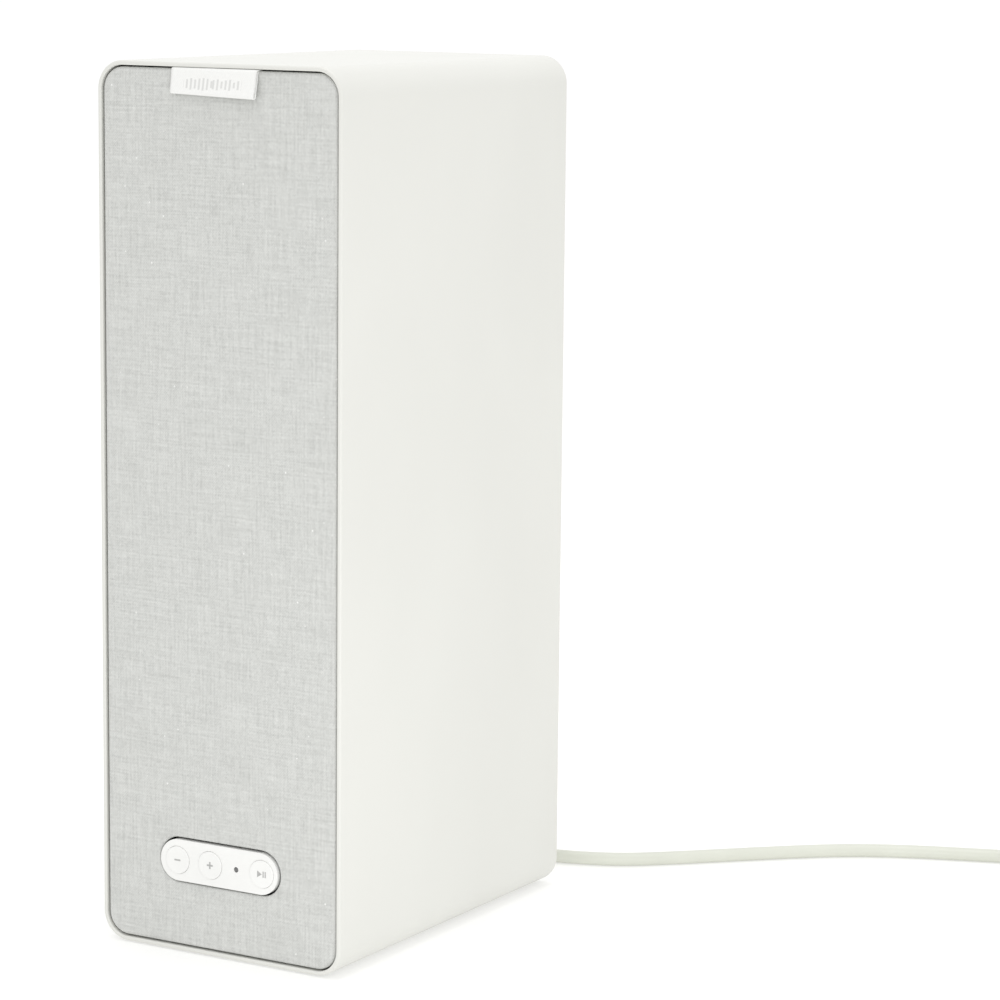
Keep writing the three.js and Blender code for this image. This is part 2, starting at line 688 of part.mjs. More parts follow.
function tweeterPlate() {
  const throat = tweeter.dome + 0.6;
  const rear = tweeter.plate - gap.seat;
  return turned(
    [[tweeter.radius, 0.3], [tweeter.radius - 0.4, 0], [tweeter.radius - 4, 0], [throat + 3, 1], [throat, 2],
      [throat, rear], [tweeter.radius, rear]],
    20,
  );
}

function tweeterDome() {
  const rim = [0, tweeter.plate - gap.seat];
  const { dome, domeHeight, silk } = tweeter;
  const quarter = Math.PI / 2;
  return turned([
    ...arcPoints(rim, dome, domeHeight, 0, quarter, 4),
    ...arcPoints(rim, dome - silk, domeHeight - silk, quarter, 0, 4),
  ].map(([r, y]) => [r < 0.01 ? 0 : r, y]));
}

// The motor's cup, with a shallow well that gives the dome room to move.
function tweeterMotor() {
  const start = tweeter.plate;
  const end = start + tweeter.motorDepth;
  const well = start + 1.2;
  const { dome, motor } = tweeter;
  return turned([
    [0, well], [dome + 0.2, well], [dome + 0.2, start + gap.moving], [motor - 0.6, start + gap.moving],
    [motor, start + 1], [motor, end - 1], [motor - 1, end], [0, end],
  ]);
}

// ---------------------------------------------------------------- electronics

// A figure-of-eight mains inlet that looks down into the tray, about its own middle, z as in the cabinet.
function mainsInlet() {
  const { width, depth, height, flange, noseRadius, noseSpread, noseDepth } = inlet;
  const z = recess.ceiling;
  const noseTop = socketFace + noseDepth;
  const body = fuse(
    block([0, 0, z - gap.seat - flange / 2], [width + 4, depth + 4, flange]),
    box(-width / 2, width / 2, -depth / 2, depth / 2, z - 1, z + height),
  );
  const mouth = [-1, 1].map((side) =>
    rodZ(noseRadius + gap.fit, z - 4, noseTop, side * noseSpread, 0, 12),
  );
  const bridge = box(
    -noseSpread, noseSpread, -noseRadius * 0.8, noseRadius * 0.8, z - 4, noseTop,
  );
  const pins = [-1, 1].map((side) => rodZ(1.1, z + 1, noseTop + 1, side * noseSpread * 1.2, 0, 8));
  return fuse(cut(body, ...mouth, bridge), ...pins);
}

// A shielded network socket beside it, with its latch slot and contact comb.
function ethernetSocket() {
  const { width, depth, height, mouthWidth, mouthDepth, mouthHeight } = ethernet;
  const z = recess.ceiling;
  const rim = z - 0.5;
  return fuse(
    cut(
      box(-width / 2, width / 2, -depth / 2, depth / 2, rim, z + height),
      box(-mouthWidth / 2, mouthWidth / 2, -mouthDepth / 2, mouthDepth / 2, rim - over, z + mouthHeight),
      box(-3, 3, mouthDepth / 2 - over, mouthDepth / 2 + 1.6, rim - over, z + mouthHeight),
    ),
    box(-4.4, 4.4, -mouthDepth / 2 - 0.5, -mouthDepth / 2 + 0.8, z + 2, z + mouthHeight + 1),
  );
}

// The power board, with its finned heat sink.
function powerCircuit() {
  const { width, height, depth, fin, fins } = heatSink;
  const y = powerBoardY;
  const [x1, z1] = [powerBoardHalf - 4.6, powerBoardZ - 2];
  const [x0, z0] = [x1 - width, z1 - height];
  const pitch = (width - fin) / (fins - 1);
  return fuse(
    block(
      [0, y + powerBoard.thickness / 2, powerBoardZ],
      [2 * powerBoardHalf, powerBoard.thickness, powerBoard.height],
    ),
    box(x0, x1, y - 2, y + 0.4, z0, z1),
    ...Array.from({ length: fins }, (_, i) =>
      box(x0 + i * pitch, x0 + i * pitch + fin, y - depth, y + 0.4, z0, z1),
    ),
  );
}

function powerTransformer() {
  const { width, height, depth } = transformer;
  const face = powerBoardY - gap.seat;
  return fuse(
    box(-width / 2, width / 2, face - depth + 3, face - 3, -height / 2, height / 2),
    slab(roundedRect(width - 6, height - 4, 4), face - depth, face),
  );
}

// A standing electrolytic can, its crimp near the foot, pointing towards -Y from the board.
function filterCapacitor() {
  const { radius, length } = capacitor;
  return turned(
    [[0, 0], [radius, 0], [radius, -2], [radius - 0.5, -2.4], [radius, -2.8], [radius, 0.6 - length],
      [radius - 0.6, -length], [0, -length]],
    14,
  );
}

// The logic board on the left wall, with its chips as [deep, tall, y, z, high] from its middle.
function mainCircuit() {
  const { depth, height, thickness } = mainBoard;
  const face = mainBoardX + thickness - 0.2;
  const chips = [[16, 12, -20, 22, 1.6], [10, 10, 18, 24, 1.2], [7, 20, 24, -4, 5], [12, 8, -22, -26, 3]];
  return fuse(
    block([mainBoardX + thickness / 2, mainBoardY, mainBoardZ], [thickness, depth, height]),
    ...chips.map(([deep, tall, y, z, high]) =>
      block([face + high / 2, mainBoardY + y, mainBoardZ + z], [high, deep, tall]),
    ),
  );
}

// ---------------------------------------------------------------- power lead

// The figure-of-eight connector with its tapered strain relief, about its own axis, z as in the cabinet.
function leadConnector() {
  const { body, width, depth, corner, reliefRadius } = connector;
  const { noseRadius, noseSpread } = inlet;
  const noseTop = connectorTop + 7;
  const shell = plinth(roundedRect(width, depth, corner), connectorTop - body, connectorTop);
  const noses = [-1, 1].map((side) => rodZ(noseRadius, connectorTop - 2, noseTop, side * noseSpread, 0, 12));
  const bridge = box(
    -noseSpread, noseSpread, -noseRadius * 0.7, noseRadius * 0.7, connectorTop - 2, noseTop,
  );
  const relief = rodZ(
    cord.radius + 0.7, connectorEnd, connectorTop - body + 1, 0, 0, 10, Math.min(reliefRadius, depth / 2),
  );
  const sockets = [-1, 1].map((side) =>
    rodZ(1.5, connectorTop - 3, noseTop + over, side * noseSpread * 1.2, 0, 8),
  );
  return cut(fuse(shell, relief, ...noses, bridge), ...sockets);
}

// Where the cord meets the stored coil: tangent to its outermost turn, at the coil's heading.
function coilStart(before) {
  const { heading } = coil;
  return [
    coilCentre[0] - outerTurn * Math.sin(heading) - before * Math.cos(heading),
    coilCentre[1] + outerTurn * Math.cos(heading) - before * Math.sin(heading),
    cord.radius + 0.1,
  ];
}

function powerCord() {
  const points = [...route, coilStart(coil.leadIn + gap.fit)].map(([x, y, z]) => [x, back + y, z]);
  const start = [inlet.place, recessMiddle, connectorEnd - gap.fit];
  return cable([start, ...points], cord.radius, cord.sides, cord.steps);
}

const tailZ = 3 * cord.radius + 0.1;
const plugZ = plug.height / 2 + 0.1;

// The stored turns as one ring, with the lead-in and the tail that run off it, about the ring's middle.
function cordCoil() {
  const half = coil.turns * cord.radius;
  const [inner, outer, tall] = [coil.radius - half, coil.radius + half, 4 * cord.radius];
  const ring = turned(
    [[inner, 1], [inner + 1, 0], [outer - 1, 0], [outer, 1], [outer, tall - 1], [outer - 1, tall],
      [inner + 1, tall], [inner, tall - 1]],
    coil.sides,
  ).rotateX(Math.PI / 2).translate(0, 0, 0.1);
  const strand = (points) => cable(points, cord.radius, cord.sides, points.length - 1);
  const leadIn = [coilStart(coil.leadIn), coilStart(0)].map(([x, y, z]) =>
    [x - coilCentre[0], y - coilCentre[1], z],
  );
  const tail = [[outerTurn, 1, tailZ], [outerTurn, -coil.tail / 2, tailZ], [outerTurn, -coil.tail, plugZ]];
  return fuse(ring, strand(leadIn), strand(tail));
}

// A flat two-pin plug lying on its side face and pointing towards -Y, y 0 at the end of its strain relief.
function mainsPlug() {
  const { length, width, nose, height, relief, pinRadius, pinLength, pinSpread } = plug;
  const shoulderY = -relief - length * 0.35;
  const end = -relief - length;
  const body = new THREE.Shape()
    .moveTo(nose / 2, -relief)
    .lineTo(-nose / 2, -relief)
    .lineTo(-width / 2, shoulderY)
    .lineTo(-width / 2, end + 2)
    .lineTo(-width / 2 + 2, end)
    .lineTo(width / 2 - 2, end)
    .lineTo(width / 2, end + 2)
    .lineTo(width / 2, shoulderY);
  const pins = [-1, 1].map((side) => rodY(pinRadius, end - pinLength, end + 1, side * pinSpread, 0, 10));
  const collar = new THREE.CylinderGeometry(cord.radius + 0.7, 4.6, relief + 1, 10)
    .translate(0, -(relief + 1) / 2, 0);
  return fuse(plinth(body, -height / 2, height / 2), collar, ...pins);
}

// ---------------------------------------------------------------- assembly

function buildCabinet() {
  const rearScrews = screws("rear_screw", bossPlaces, rearOuter - screw.recess + gap.seat);
  rearScrews.forEach((made) => made.rotateZ(Math.PI));
  return assembly(0, 0,
    piece("cabinet_sleeve", cabinetSleeve(), whiteShell),
    piece("rear_panel", rearPanel(), whiteShell),
    piece("hanger_plate", hangerPlate(), zinc, 0, rearOuter, hangerZ),
    ...footPlaces.map(([x, y], i) => piece(`foot_${i + 1}`, footPad(), rubber, x, y, 0)),
    ...rearScrews,
  );
}

function buildBaffle() {
  return assembly(0, 0,
    piece("front_baffle", frontBaffle(), blackPlastic),
    piece("baffle_seal", baffleSeal(), felt, 0, shoulder - gap.seat, 0),
    piece("bass_port", bassPort(), blackPlastic, 0, baffleFront, portZ),
    ...screws("baffle_screw", bossPlaces, baffleFront + screw.recess - gap.seat),
  );
}

function buildGrille() {
  return assembly(0, 0,
    piece("grille_frame", grilleFrame(), blackPlastic),
    piece("grille_fabric", grilleFabric(), whiteCloth),
    piece("pull_tab", pullTab(), tabCloth),
  );
}

function buildControls() {
  return assembly(0, 0,
    piece("control_bezel", controlBezel(), whiteGloss),
    piece("control_board", controlBoard(), circuit),
    piece("status_lens", statusLens(), smokedLens, lens.place, pillFront, pill.centre),
    ...Object.entries(buttonPlaces).map(([name, x]) =>
      piece(name, buttonCap(), whiteGloss, x, pillFront - button.proud, pill.centre),
    ),
  );
}

function buildWoofer() {
  return assembly(baffleFront, wooferZ,
    piece("woofer_basket", wooferBasket(), blackPlastic),
    piece("woofer_surround", wooferSurround(), rubber),
    piece("woofer_cone", wooferCone(), paper),
    piece("woofer_dust_cap", wooferDustCap(), paper),
    piece("woofer_voice_coil", wooferVoiceCoil(), amber),
    piece("woofer_spider", wooferSpider(), amber),
    piece("woofer_top_plate", wooferTopPlate(), zinc),
    piece("woofer_magnet", wooferMagnet(), ferrite),
    piece("woofer_yoke", wooferYoke(), zinc),
    ...screws("woofer_screw", wooferScrewPlaces, -gap.seat),
  );
}

function buildTweeter() {
  return assembly(baffleFront, tweeterZ,
    piece("tweeter_plate", tweeterPlate(), blackPlastic),
    piece("tweeter_dome", tweeterDome(), paper),
    piece("tweeter_motor", tweeterMotor(), ferrite),
  );
}

function buildElectronics() {
  const shieldX = mainBoardX + mainBoard.thickness + gap.seat + shield.height / 2;
  const padTop = antennaZ - antenna.height / 2 - pad.clearance;
  return assembly(0, 0,
    piece("mains_inlet", mainsInlet(), blackPlastic, inlet.place, recessMiddle, 0),
    piece("ethernet_socket", ethernetSocket(), tin, ethernet.place, recessMiddle, 0),
    piece("power_board", powerCircuit(), circuit),
    piece(
      "power_transformer", powerTransformer(), amber,
      transformer.width / 2 + 6 - powerBoardHalf, 0, powerBoardZ - 8,
    ),
    piece(
      "filter_capacitor", filterCapacitor(), blackPlastic,
      capacitor.radius, powerBoardY - gap.seat, powerBoardZ + 16,
    ),
    piece("main_board", mainCircuit(), circuit),
    piece(
      "processor_shield", block([0, 0, 0], [shield.height, shield.size, shield.size]), tin,
      shieldX, mainBoardY - 4, mainBoardZ - 4,
    ),
    ...[-1, 1].map((side) =>
      piece(
        side < 0 ? "antenna_left" : "antenna_right",
        block([0, 0, 0], [antenna.thickness, antenna.length, antenna.height]), circuit,
        side * (innerWall - antenna.thickness / 2 - gap.fit), 0, antennaZ,
      ),
    ),
    piece(
      "acoustic_pad",
      box(
        innerWall - gap.fit - pad.thickness, innerWall - gap.fit, -pad.depth / 2, pad.depth / 2,
        pad.lift, padTop,
      ),
      felt,
    ),
    ...buildWires(),
  );
}

// The loose wires inside, each from its driver or board to the front or top edge of the main board.
function buildWires() {
  const edgeX = mainBoardX + mainBoard.thickness / 2;
  const frontEdge = mainBoardY - mainBoard.depth / 2 - gap.wire;
  const topEdge = mainBoardZ + mainBoard.height / 2 + gap.wire;
  const lowEdge = mainBoardZ - mainBoard.height / 2;
  const tweeterBack = baffleFront + tweeter.plate + tweeter.motorDepth + gap.wire;
  const boardBack = boardFront + buttonBoard.thickness + gap.wire;
  const routes = {
    woofer_wire: [
      [edgeX + 5, baffleFront + woofer.basket, wooferZ - 30], [edgeX + 3, frontEdge - 12, wooferZ - 34],
      [edgeX, frontEdge - 4, topEdge - 20], [edgeX, frontEdge, topEdge - 22],
    ],
    tweeter_wire: [
      [0, tweeterBack, tweeterZ], [-4, tweeterBack + 6, tweeterZ], [-24, tweeterBack + 16, tweeterZ - 4],
      [edgeX + 3, mainBoardY - 8, tweeterZ - 30], [edgeX, mainBoardY, topEdge + 8],
      [edgeX, mainBoardY, topEdge],
    ],
    button_wire: [
      [0, boardBack, pill.centre], [-1, boardBack + 5, pill.centre],
      [-18, baffleBack + 14, pill.centre + 18],
      [edgeX + 2, frontEdge - 10, lowEdge - 2], [edgeX, frontEdge - 4, lowEdge + 12],
      [edgeX, frontEdge, lowEdge + 14],
    ],
  };
  return Object.entries(routes).map(([name, points]) =>
    piece(name, cable(points, wire.radius, wire.sides, wire.steps), blackPlastic),
  );
}

function buildPowerLead() {
  const tailEnd = coilCentre[1] - coil.tail - gap.fit;
  return assembly(0, 0,
    piece("lead_connector", leadConnector(), whiteVinyl, inlet.place, recessMiddle, 0),
    piece("power_cord", powerCord(), whiteVinyl),
    piece("power_cord_coil", cordCoil(), whiteVinyl, coilCentre[0], back + coilCentre[1], 0),
    piece("mains_plug", mainsPlug(), whiteVinyl, coilCentre[0] + outerTurn, back + tailEnd, plugZ),
  );
}

const speaker = new THREE.Group();
speaker.position.y = tab.reach / 2;
speaker.add(
  buildCabinet(), buildBaffle(), buildGrille(), buildControls(), buildWoofer(), buildTweeter(),
  buildElectronics(), buildPowerLead(),
);

export default speaker;
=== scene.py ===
import json
import math

import bmesh
import bpy
import numpy as np
from mathutils import Matrix, Vector


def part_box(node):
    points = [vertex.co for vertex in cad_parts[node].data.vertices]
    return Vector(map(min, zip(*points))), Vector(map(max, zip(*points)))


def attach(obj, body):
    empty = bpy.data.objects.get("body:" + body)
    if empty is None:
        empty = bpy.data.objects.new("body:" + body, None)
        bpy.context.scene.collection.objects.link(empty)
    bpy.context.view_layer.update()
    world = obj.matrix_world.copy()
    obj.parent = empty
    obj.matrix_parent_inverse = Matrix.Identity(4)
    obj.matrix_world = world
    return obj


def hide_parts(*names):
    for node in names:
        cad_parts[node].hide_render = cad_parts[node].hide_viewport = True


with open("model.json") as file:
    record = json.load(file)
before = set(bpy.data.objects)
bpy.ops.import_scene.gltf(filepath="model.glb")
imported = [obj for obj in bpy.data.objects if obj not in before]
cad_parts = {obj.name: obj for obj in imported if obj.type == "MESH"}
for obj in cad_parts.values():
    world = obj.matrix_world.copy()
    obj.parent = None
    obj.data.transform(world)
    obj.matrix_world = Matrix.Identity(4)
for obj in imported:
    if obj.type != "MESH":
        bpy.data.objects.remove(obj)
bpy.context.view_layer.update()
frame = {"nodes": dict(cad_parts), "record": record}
mm = 0.001


# colours and nodes

def linearColour(hexCode):
    # sRGB hex to linear light, channel by channel
    srgb = np.array([int(hexCode[i:i + 2], 16) for i in (1, 3, 5)]) / 255
    linear = np.where(srgb <= 0.04045, srgb / 12.92, ((srgb + 0.055) / 1.055) ** 2.4)
    return (*linear.tolist(), 1.0)


def addNode(tree, kind, inputs=None, steps=(), **settings):
    # one node with its settings and, on a ramp, its (place, hex) steps
    # an input is a value, a socket that feeds it, or a node, which stands for its first output
    node = tree.nodes.new(kind)
    for name, value in settings.items():
        setattr(node, name, value)
    for socket, value in (inputs or {}).items():
        if isinstance(value, bpy.types.Node):
            value = value.outputs[0]
        if isinstance(value, bpy.types.NodeSocket):
            tree.links.new(value, node.inputs[socket])
        else:
            node.inputs[socket].default_value = value
    for i, (place, hexCode) in enumerate(steps):
        points = node.color_ramp.elements
        point = points[i] if i < len(points) else points.new(place)
        point.position = place
        point.color = linearColour(hexCode)
    return node


def newMaterial(name, constants):
    # a Principled material with its constants; returns it, its tree, its shader and its coordinates
    material = bpy.data.materials.new(name)
    material.use_nodes = True
    tree = material.node_tree
    shader = tree.nodes["Principled BSDF"]
    for socket, value in constants.items():
        shader.inputs[socket].default_value = value
    coordinates = addNode(tree, "ShaderNodeTexCoord")
    return material, tree, shader, coordinates


def cloudy(tree, spot, sizes, detail=2.0, offset=(0, 0, 0)):
    # a cloudy pattern whose blobs have the given sizes in millimetres along X, Y and Z; 0 ignores that axis
    scale = tuple(0.0 if size == 0 else 1 / (size * mm) for size in sizes)
    moved = addNode(tree, "ShaderNodeMapping", {"Vector": spot, "Location": offset, "Scale": scale})
    noise = addNode(tree, "ShaderNodeTexNoise", {"Vector": moved, "Scale": 1.0, "Detail": detail})
    return noise.outputs["Fac"]


def showPattern(tree, shader, pattern, steps=(), depth=0.0, strength=1.0, under=None):
    # a pattern from 0 to 1, seen as colour through (place, hex) steps and as relief of a depth in millimetres
    if steps:
        ramp = addNode(tree, "ShaderNodeValToRGB", {"Fac": pattern}, steps)
        tree.links.new(ramp.outputs["Color"], shader.inputs["Base Color"])
    if not depth:
        return None
    relief = {"Height": pattern, "Distance": depth * mm, "Strength": strength}
    if under is not None:
        relief["Normal"] = under
    bump = addNode(tree, "ShaderNodeBump", relief)
    tree.links.new(bump.outputs["Normal"], shader.inputs["Normal"])
    return bump.outputs["Normal"]


# meshes

def gridFaces(rows, columns, closeRows=False, closeColumns=False):
    # one quad between neighbouring rows and columns; a closed direction also joins its last to its first
    i, j = np.meshgrid(
        np.arange(rows if closeRows else rows - 1),
        np.arange(columns if closeColumns else columns - 1), indexing="ij",
    )
    nextI, nextJ = (i + 1) % rows, (j + 1) % columns
    return np.stack(
        [i * columns + j, nextI * columns + j, nextI * columns + nextJ, i * columns + nextJ], -1
    ).reshape(-1, 4)


def signedVolume(points, faces):
    # sum over the quads of the volume between each and the origin, positive when the faces look outwards
    a, b, c, d = (points[faces[:, k]] for k in range(4))
    return float((np.cross(b - a, c - a) * a).sum() + (np.cross(c - a, d - a) * a).sum()) / 6


def newPiece(name, points, faces, material, uv=None, sharp=35, outwards=None):
    # points in millimetres and quads, as a mesh at the origin; a closed one is turned to look outwards
    points = points.reshape(-1, 3) * mm
    if outwards is None:
        outwards = signedVolume(points, faces) >= 0
    if not outwards:
        faces = faces[:, ::-1]
        uv = None if uv is None else uv[:, ::-1]
    mesh = bpy.data.meshes.new(name)
    mesh.from_pydata(points.tolist(), [], faces.tolist())
    if uv is not None:
        layer = mesh.uv_layers.new(name="UVMap")
        layer.data.foreach_set("uv", uv.reshape(-1, 2).astype(np.float32).ravel())
    work = bmesh.new()
    work.from_mesh(mesh)
    bmesh.ops.remove_doubles(work, verts=work.verts, dist=1e-7)
    work.to_mesh(mesh)
    work.free()
    mesh.polygons.foreach_set("use_smooth", np.ones(len(mesh.polygons), bool))
    mesh.set_sharp_from_angle(angle=math.radians(sharp))
    mesh.materials.append(material)
    piece = bpy.data.objects.new(name, mesh)
    bpy.context.scene.collection.objects.link(piece)
    return piece


def cadCopy(node, material, bevel=0.0, segments=2, name=None):
    # the CAD node's own mesh with its loose triangles joined, and its edges softened by a bevel that many mm
    # wide
    mesh = frame["nodes"][node].data.copy()
    work = bmesh.new()
    work.from_mesh(mesh)
    bmesh.ops.remove_doubles(work, verts=work.verts, dist=2e-6)
    bmesh.ops.dissolve_limit(work, angle_limit=math.radians(0.5), verts=work.verts, edges=work.edges)
    work.to_mesh(mesh)
    work.free()
    mesh.materials.clear()
    mesh.materials.append(material)
    mesh.polygons.foreach_set("use_smooth", np.ones(len(mesh.polygons), bool))
    mesh.set_sharp_from_angle(angle=math.radians(35))
    piece = bpy.data.objects.new(name or node + "_made", mesh)
    bpy.context.scene.collection.objects.link(piece)
    if bevel:
        softened = piece.modifiers.new("softened", "BEVEL")
        softened.width = bevel * mm
        softened.segments = segments
        softened.limit_method = "ANGLE"
        softened.angle_limit = math.radians(40)
        softened.harden_normals = True
    return piece


def place(piece, body, slot, *nodes):
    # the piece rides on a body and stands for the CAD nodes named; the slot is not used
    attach(piece, body)
    if nodes:
        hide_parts(*nodes)
    return piece


def boxOf(node):
    # a CAD node's lowest and highest corner in millimetres
    low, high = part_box(node)
    return np.array(low) / mm, np.array(high) / mm


def roundedOutline(width, height, corner, centre=(0, 0), arcSteps=16, side=(0.004, 0.996)):
    # a rounded rectangle in X and Z: four quarter circles, and points at the given shares of each straight
    # side
    # returns the points and the outward direction at each, anticlockwise from the right
    quarter = np.linspace(0, math.pi / 2, arcSteps + 1)
    angle = quarter[None, :] + np.arange(4)[:, None] * math.pi / 2
    normal = np.stack([np.cos(angle), np.sin(angle)], -1)
    signs = np.array([(1, 1), (-1, 1), (-1, -1), (1, -1)])
    middle = np.array(centre) + signs * (np.array([width, height]) / 2 - corner)
    arcs = middle[:, None, :] + corner * normal
    share = np.array(side)[None, :, None]
    straight = arcs[:, -1:, :] * (1 - share) + np.roll(arcs, -1, axis=0)[:, :1, :] * share
    points = np.concatenate([arcs, straight], 1).reshape(-1, 2)
    held = np.repeat(normal[:, -1:, :], len(side), axis=1)
    return points, np.concatenate([normal, held], 1).reshape(-1, 2)


def carriedRound(profile, outline):
    # a profile of (inset, y) carried round an outline in X and Z: each point moves inwards by its inset
    points, normal = outline
    inset, along = np.array(profile, float).T
    flat = points[None, :, :] - inset[:, None, None] * normal[None, :, :]
    y = np.broadcast_to(along[:, None], flat.shape[:2])
    return np.stack([flat[..., 0], y, flat[..., 1]], -1)


def arc(centre, radius, start, end, steps=5):
    # points of a circular arc, angles in degrees, as a list to put into a profile
    angle = np.radians(np.linspace(start, end, steps + 1))
    return [(centre[0] + radius * math.cos(a), centre[1] + radius * math.sin(a)) for a in angle]


def spun(profile, axisPoint, axis="y", steps=48):
    # a profile of (radius, place along the axis) spun about an axis through axisPoint
    radius, along = np.array(profile, float).T
    turn = np.linspace(0, 2 * math.pi, steps, endpoint=False)
    a, b = radius[:, None] * np.cos(turn), radius[:, None] * np.sin(turn)
    c = np.broadcast_to(along[:, None], a.shape)
    order = {"y": (a, c, b), "z": (a, b, c), "x": (c, a, b)}[axis]
    return np.stack(order, -1) + np.array(axisPoint, float)


def smoothPath(points, spacing):
    # a centripetal curve through the points (each stretch a blend of its two neighbours' tangents), evenly
    # spaced
    points = np.array(points, float)
    before = 2 * points[0] - points[1]
    after = 2 * points[-1] - points[-2]
    p = np.vstack([before, points, after])
    knot = np.concatenate([[0], np.cumsum(np.linalg.norm(np.diff(p, axis=0), axis=1) ** 0.5)])
    share = np.linspace(0, 1, 24, endpoint=False)[None, :, None]
    p0, p1, p2, p3 = (p[k:len(p) - 3 + k][:, None, :] for k in range(4))
    t0, t1, t2, t3 = (knot[k:len(p) - 3 + k][:, None, None] for k in range(4))
    t = t1 + share * (t2 - t1)
    a1 = (t1 - t) / (t1 - t0) * p0 + (t - t0) / (t1 - t0) * p1
    a2 = (t2 - t) / (t2 - t1) * p1 + (t - t1) / (t2 - t1) * p2
    a3 = (t3 - t) / (t3 - t2) * p2 + (t - t2) / (t3 - t2) * p3
    b1 = (t2 - t) / (t2 - t0) * a1 + (t - t0) / (t2 - t0) * a2
    b2 = (t3 - t) / (t3 - t1) * a2 + (t - t1) / (t3 - t1) * a3
    curve = ((t2 - t) / (t2 - t1) * b1 + (t - t1) / (t2 - t1) * b2).reshape(-1, 3)
    return evenly(np.vstack([curve, points[-1]]), spacing)


def evenly(curve, spacing):
    # the same line with its points a spacing apart
    run = np.concatenate([[0], np.cumsum(np.linalg.norm(np.diff(curve, axis=0), axis=1))])
    at = np.linspace(0, run[-1], int(round(run[-1] / spacing)) + 1)
    return np.stack([np.interp(at, run, curve[:, k]) for k in range(3)], -1)


def sweptTube(path, radius, sides=16, upright=None):
    # circles square to the path, one at each of its points, turned by a fixed upright; radius may vary along
    # it
    tangent = np.gradient(path, axis=0)
    tangent /= np.linalg.norm(tangent, axis=1, keepdims=True)
    upright = np.broadcast_to(np.array([0, 0, 1.0]) if upright is None else upright, path.shape)
    across = np.cross(tangent, upright)
    across /= np.linalg.norm(across, axis=1, keepdims=True)
    over = np.cross(across, tangent)
    turn = np.linspace(0, 2 * math.pi, sides, endpoint=False)[None, :, None]
    ring = across[:, None, :] * np.cos(turn) + over[:, None, :] * np.sin(turn)
    radius = np.broadcast_to(np.asarray(radius, float), len(path))[:, None, None]
    body = path[:, None, :] + radius * ring
    first = np.broadcast_to(path[:1, None, :], (1, sides, 3))
    last = np.broadcast_to(path[-1:, None, :], (1, sides, 3))
    return np.concatenate([first, body, last], 0)


def tubeUv(path, sides):
    # U round the tube and V along it in metres, for each corner of each quad
    run = np.concatenate([[0], np.cumsum(np.linalg.norm(np.diff(path, axis=0), axis=1))]) * mm
    v = np.concatenate([run[:1], run, run[-1:]])
    u = np.arange(sides + 1) / sides
    corners = [(0, 0), (1, 0), (1, 1), (0, 1)]
    count = len(v) - 1
    parts = [
        np.stack(np.broadcast_arrays(u[None, dj:sides + dj], v[di:count + di, None]), -1)
        for di, dj in corners
    ]
    return np.stack(parts, 2).reshape(-1, 4, 2)


# the studio: pale floor, even sky and soft boxes, and the camera

studio = {
    "sky": 1.03, "floor": "#cdcdcb", "floorGlow": 0.42,
    "overhead": {"energy": 3.3, "size": 0.8, "from": (0.05, 0.0, 1.3), "to": (0.05, 0.0, 0.0)},
    "sideFill": {"energy": 0.42, "size": 0.2, "from": (0.36, -0.34, 0.05), "to": (0.05, -0.05, 0.06)},
}
cameraView = {
    "azimuth": 30.489, "elevation": 9.169, "roll": 0.591, "distance": 1.27177,
    "aim": (0.05003, 0.03086, 0.15263), "lens": 127.34, "sensor": 36.0,
}


def buildStudio():
    world = bpy.data.worlds.new("evenSky")
    bpy.context.scene.world = world
    world.use_nodes = True
    sky = world.node_tree.nodes["Background"]
    sky.inputs["Color"].default_value = (1, 1, 1, 1)
    sky.inputs["Strength"].default_value = studio["sky"]
    half = 3000.0
    corners = np.array([(-half, -half, 0), (half, -half, 0), (half, half, 0), (-half, half, 0)], float)
    paper, tree, shader, coordinates = newMaterial(
        "seamlessPaperMatt", {"Roughness": 0.9, "Specular IOR Level": 0.2}
    )
    mottle = cloudy(tree, coordinates.outputs["Object"], (90, 90, 90))
    showPattern(tree, shader, mottle, [(0.3, "#cacac8"), (0.7, studio["floor"])])
    # lit from below, as on a light table, so that shadows stay faint
    shader.inputs["Emission Color"].default_value = (1, 1, 1, 1)
    shader.inputs["Emission Strength"].default_value = studio["floorGlow"]
    floor = newPiece("studio_floor", corners, np.array([[0, 1, 2, 3]]), paper, outwards=True)
    for name in ("overhead", "sideFill"):
        chosen = studio[name]
        lamp = bpy.data.lights.new(name, "AREA")
        lamp.shape = "DISK"
        lamp.size = chosen["size"]
        lamp.energy = chosen["energy"]
        softbox = bpy.data.objects.new(name, lamp)
        softbox.location = chosen["from"]
        aimed = Vector(chosen["to"]) - Vector(chosen["from"])
        softbox.rotation_euler = aimed.to_track_quat("-Z", "Y").to_euler()
        softbox.visible_camera = False
        bpy.context.scene.collection.objects.link(softbox)


def buildCamera():
    # back points from the aim to the camera; right and up are turned about it by the roll
    azimuth, elevation, roll = (math.radians(cameraView[k]) for k in ("azimuth", "elevation", "roll"))
    back = Vector((
        math.sin(azimuth) * math.cos(elevation),
        -math.cos(azimuth) * math.cos(elevation),
        math.sin(elevation),
    ))
    level = Vector((math.cos(azimuth), math.sin(azimuth), 0))
    up = back.cross(level)
    right = level * math.cos(roll) + up * math.sin(roll)
    turnedUp = up * math.cos(roll) - level * math.sin(roll)
    lens = bpy.data.cameras.new("studioCamera")
    lens.lens = cameraView["lens"]
    lens.sensor_width = cameraView["sensor"]
    lens.clip_end = 20
    camera = bpy.data.objects.new("studioCamera", lens)
    turn = Matrix((right, turnedUp, back)).transposed().to_4x4()
    camera.matrix_world = Matrix.Translation(Vector(cameraView["aim"]) + back * cameraView["distance"]) @ turn
    bpy.context.scene.collection.objects.link(camera)
    bpy.context.scene.camera = camera


bpy.context.scene.view_settings.view_transform = "Standard"
buildCamera()
buildStudio()
print("studio and camera ready")


# materials of the lead

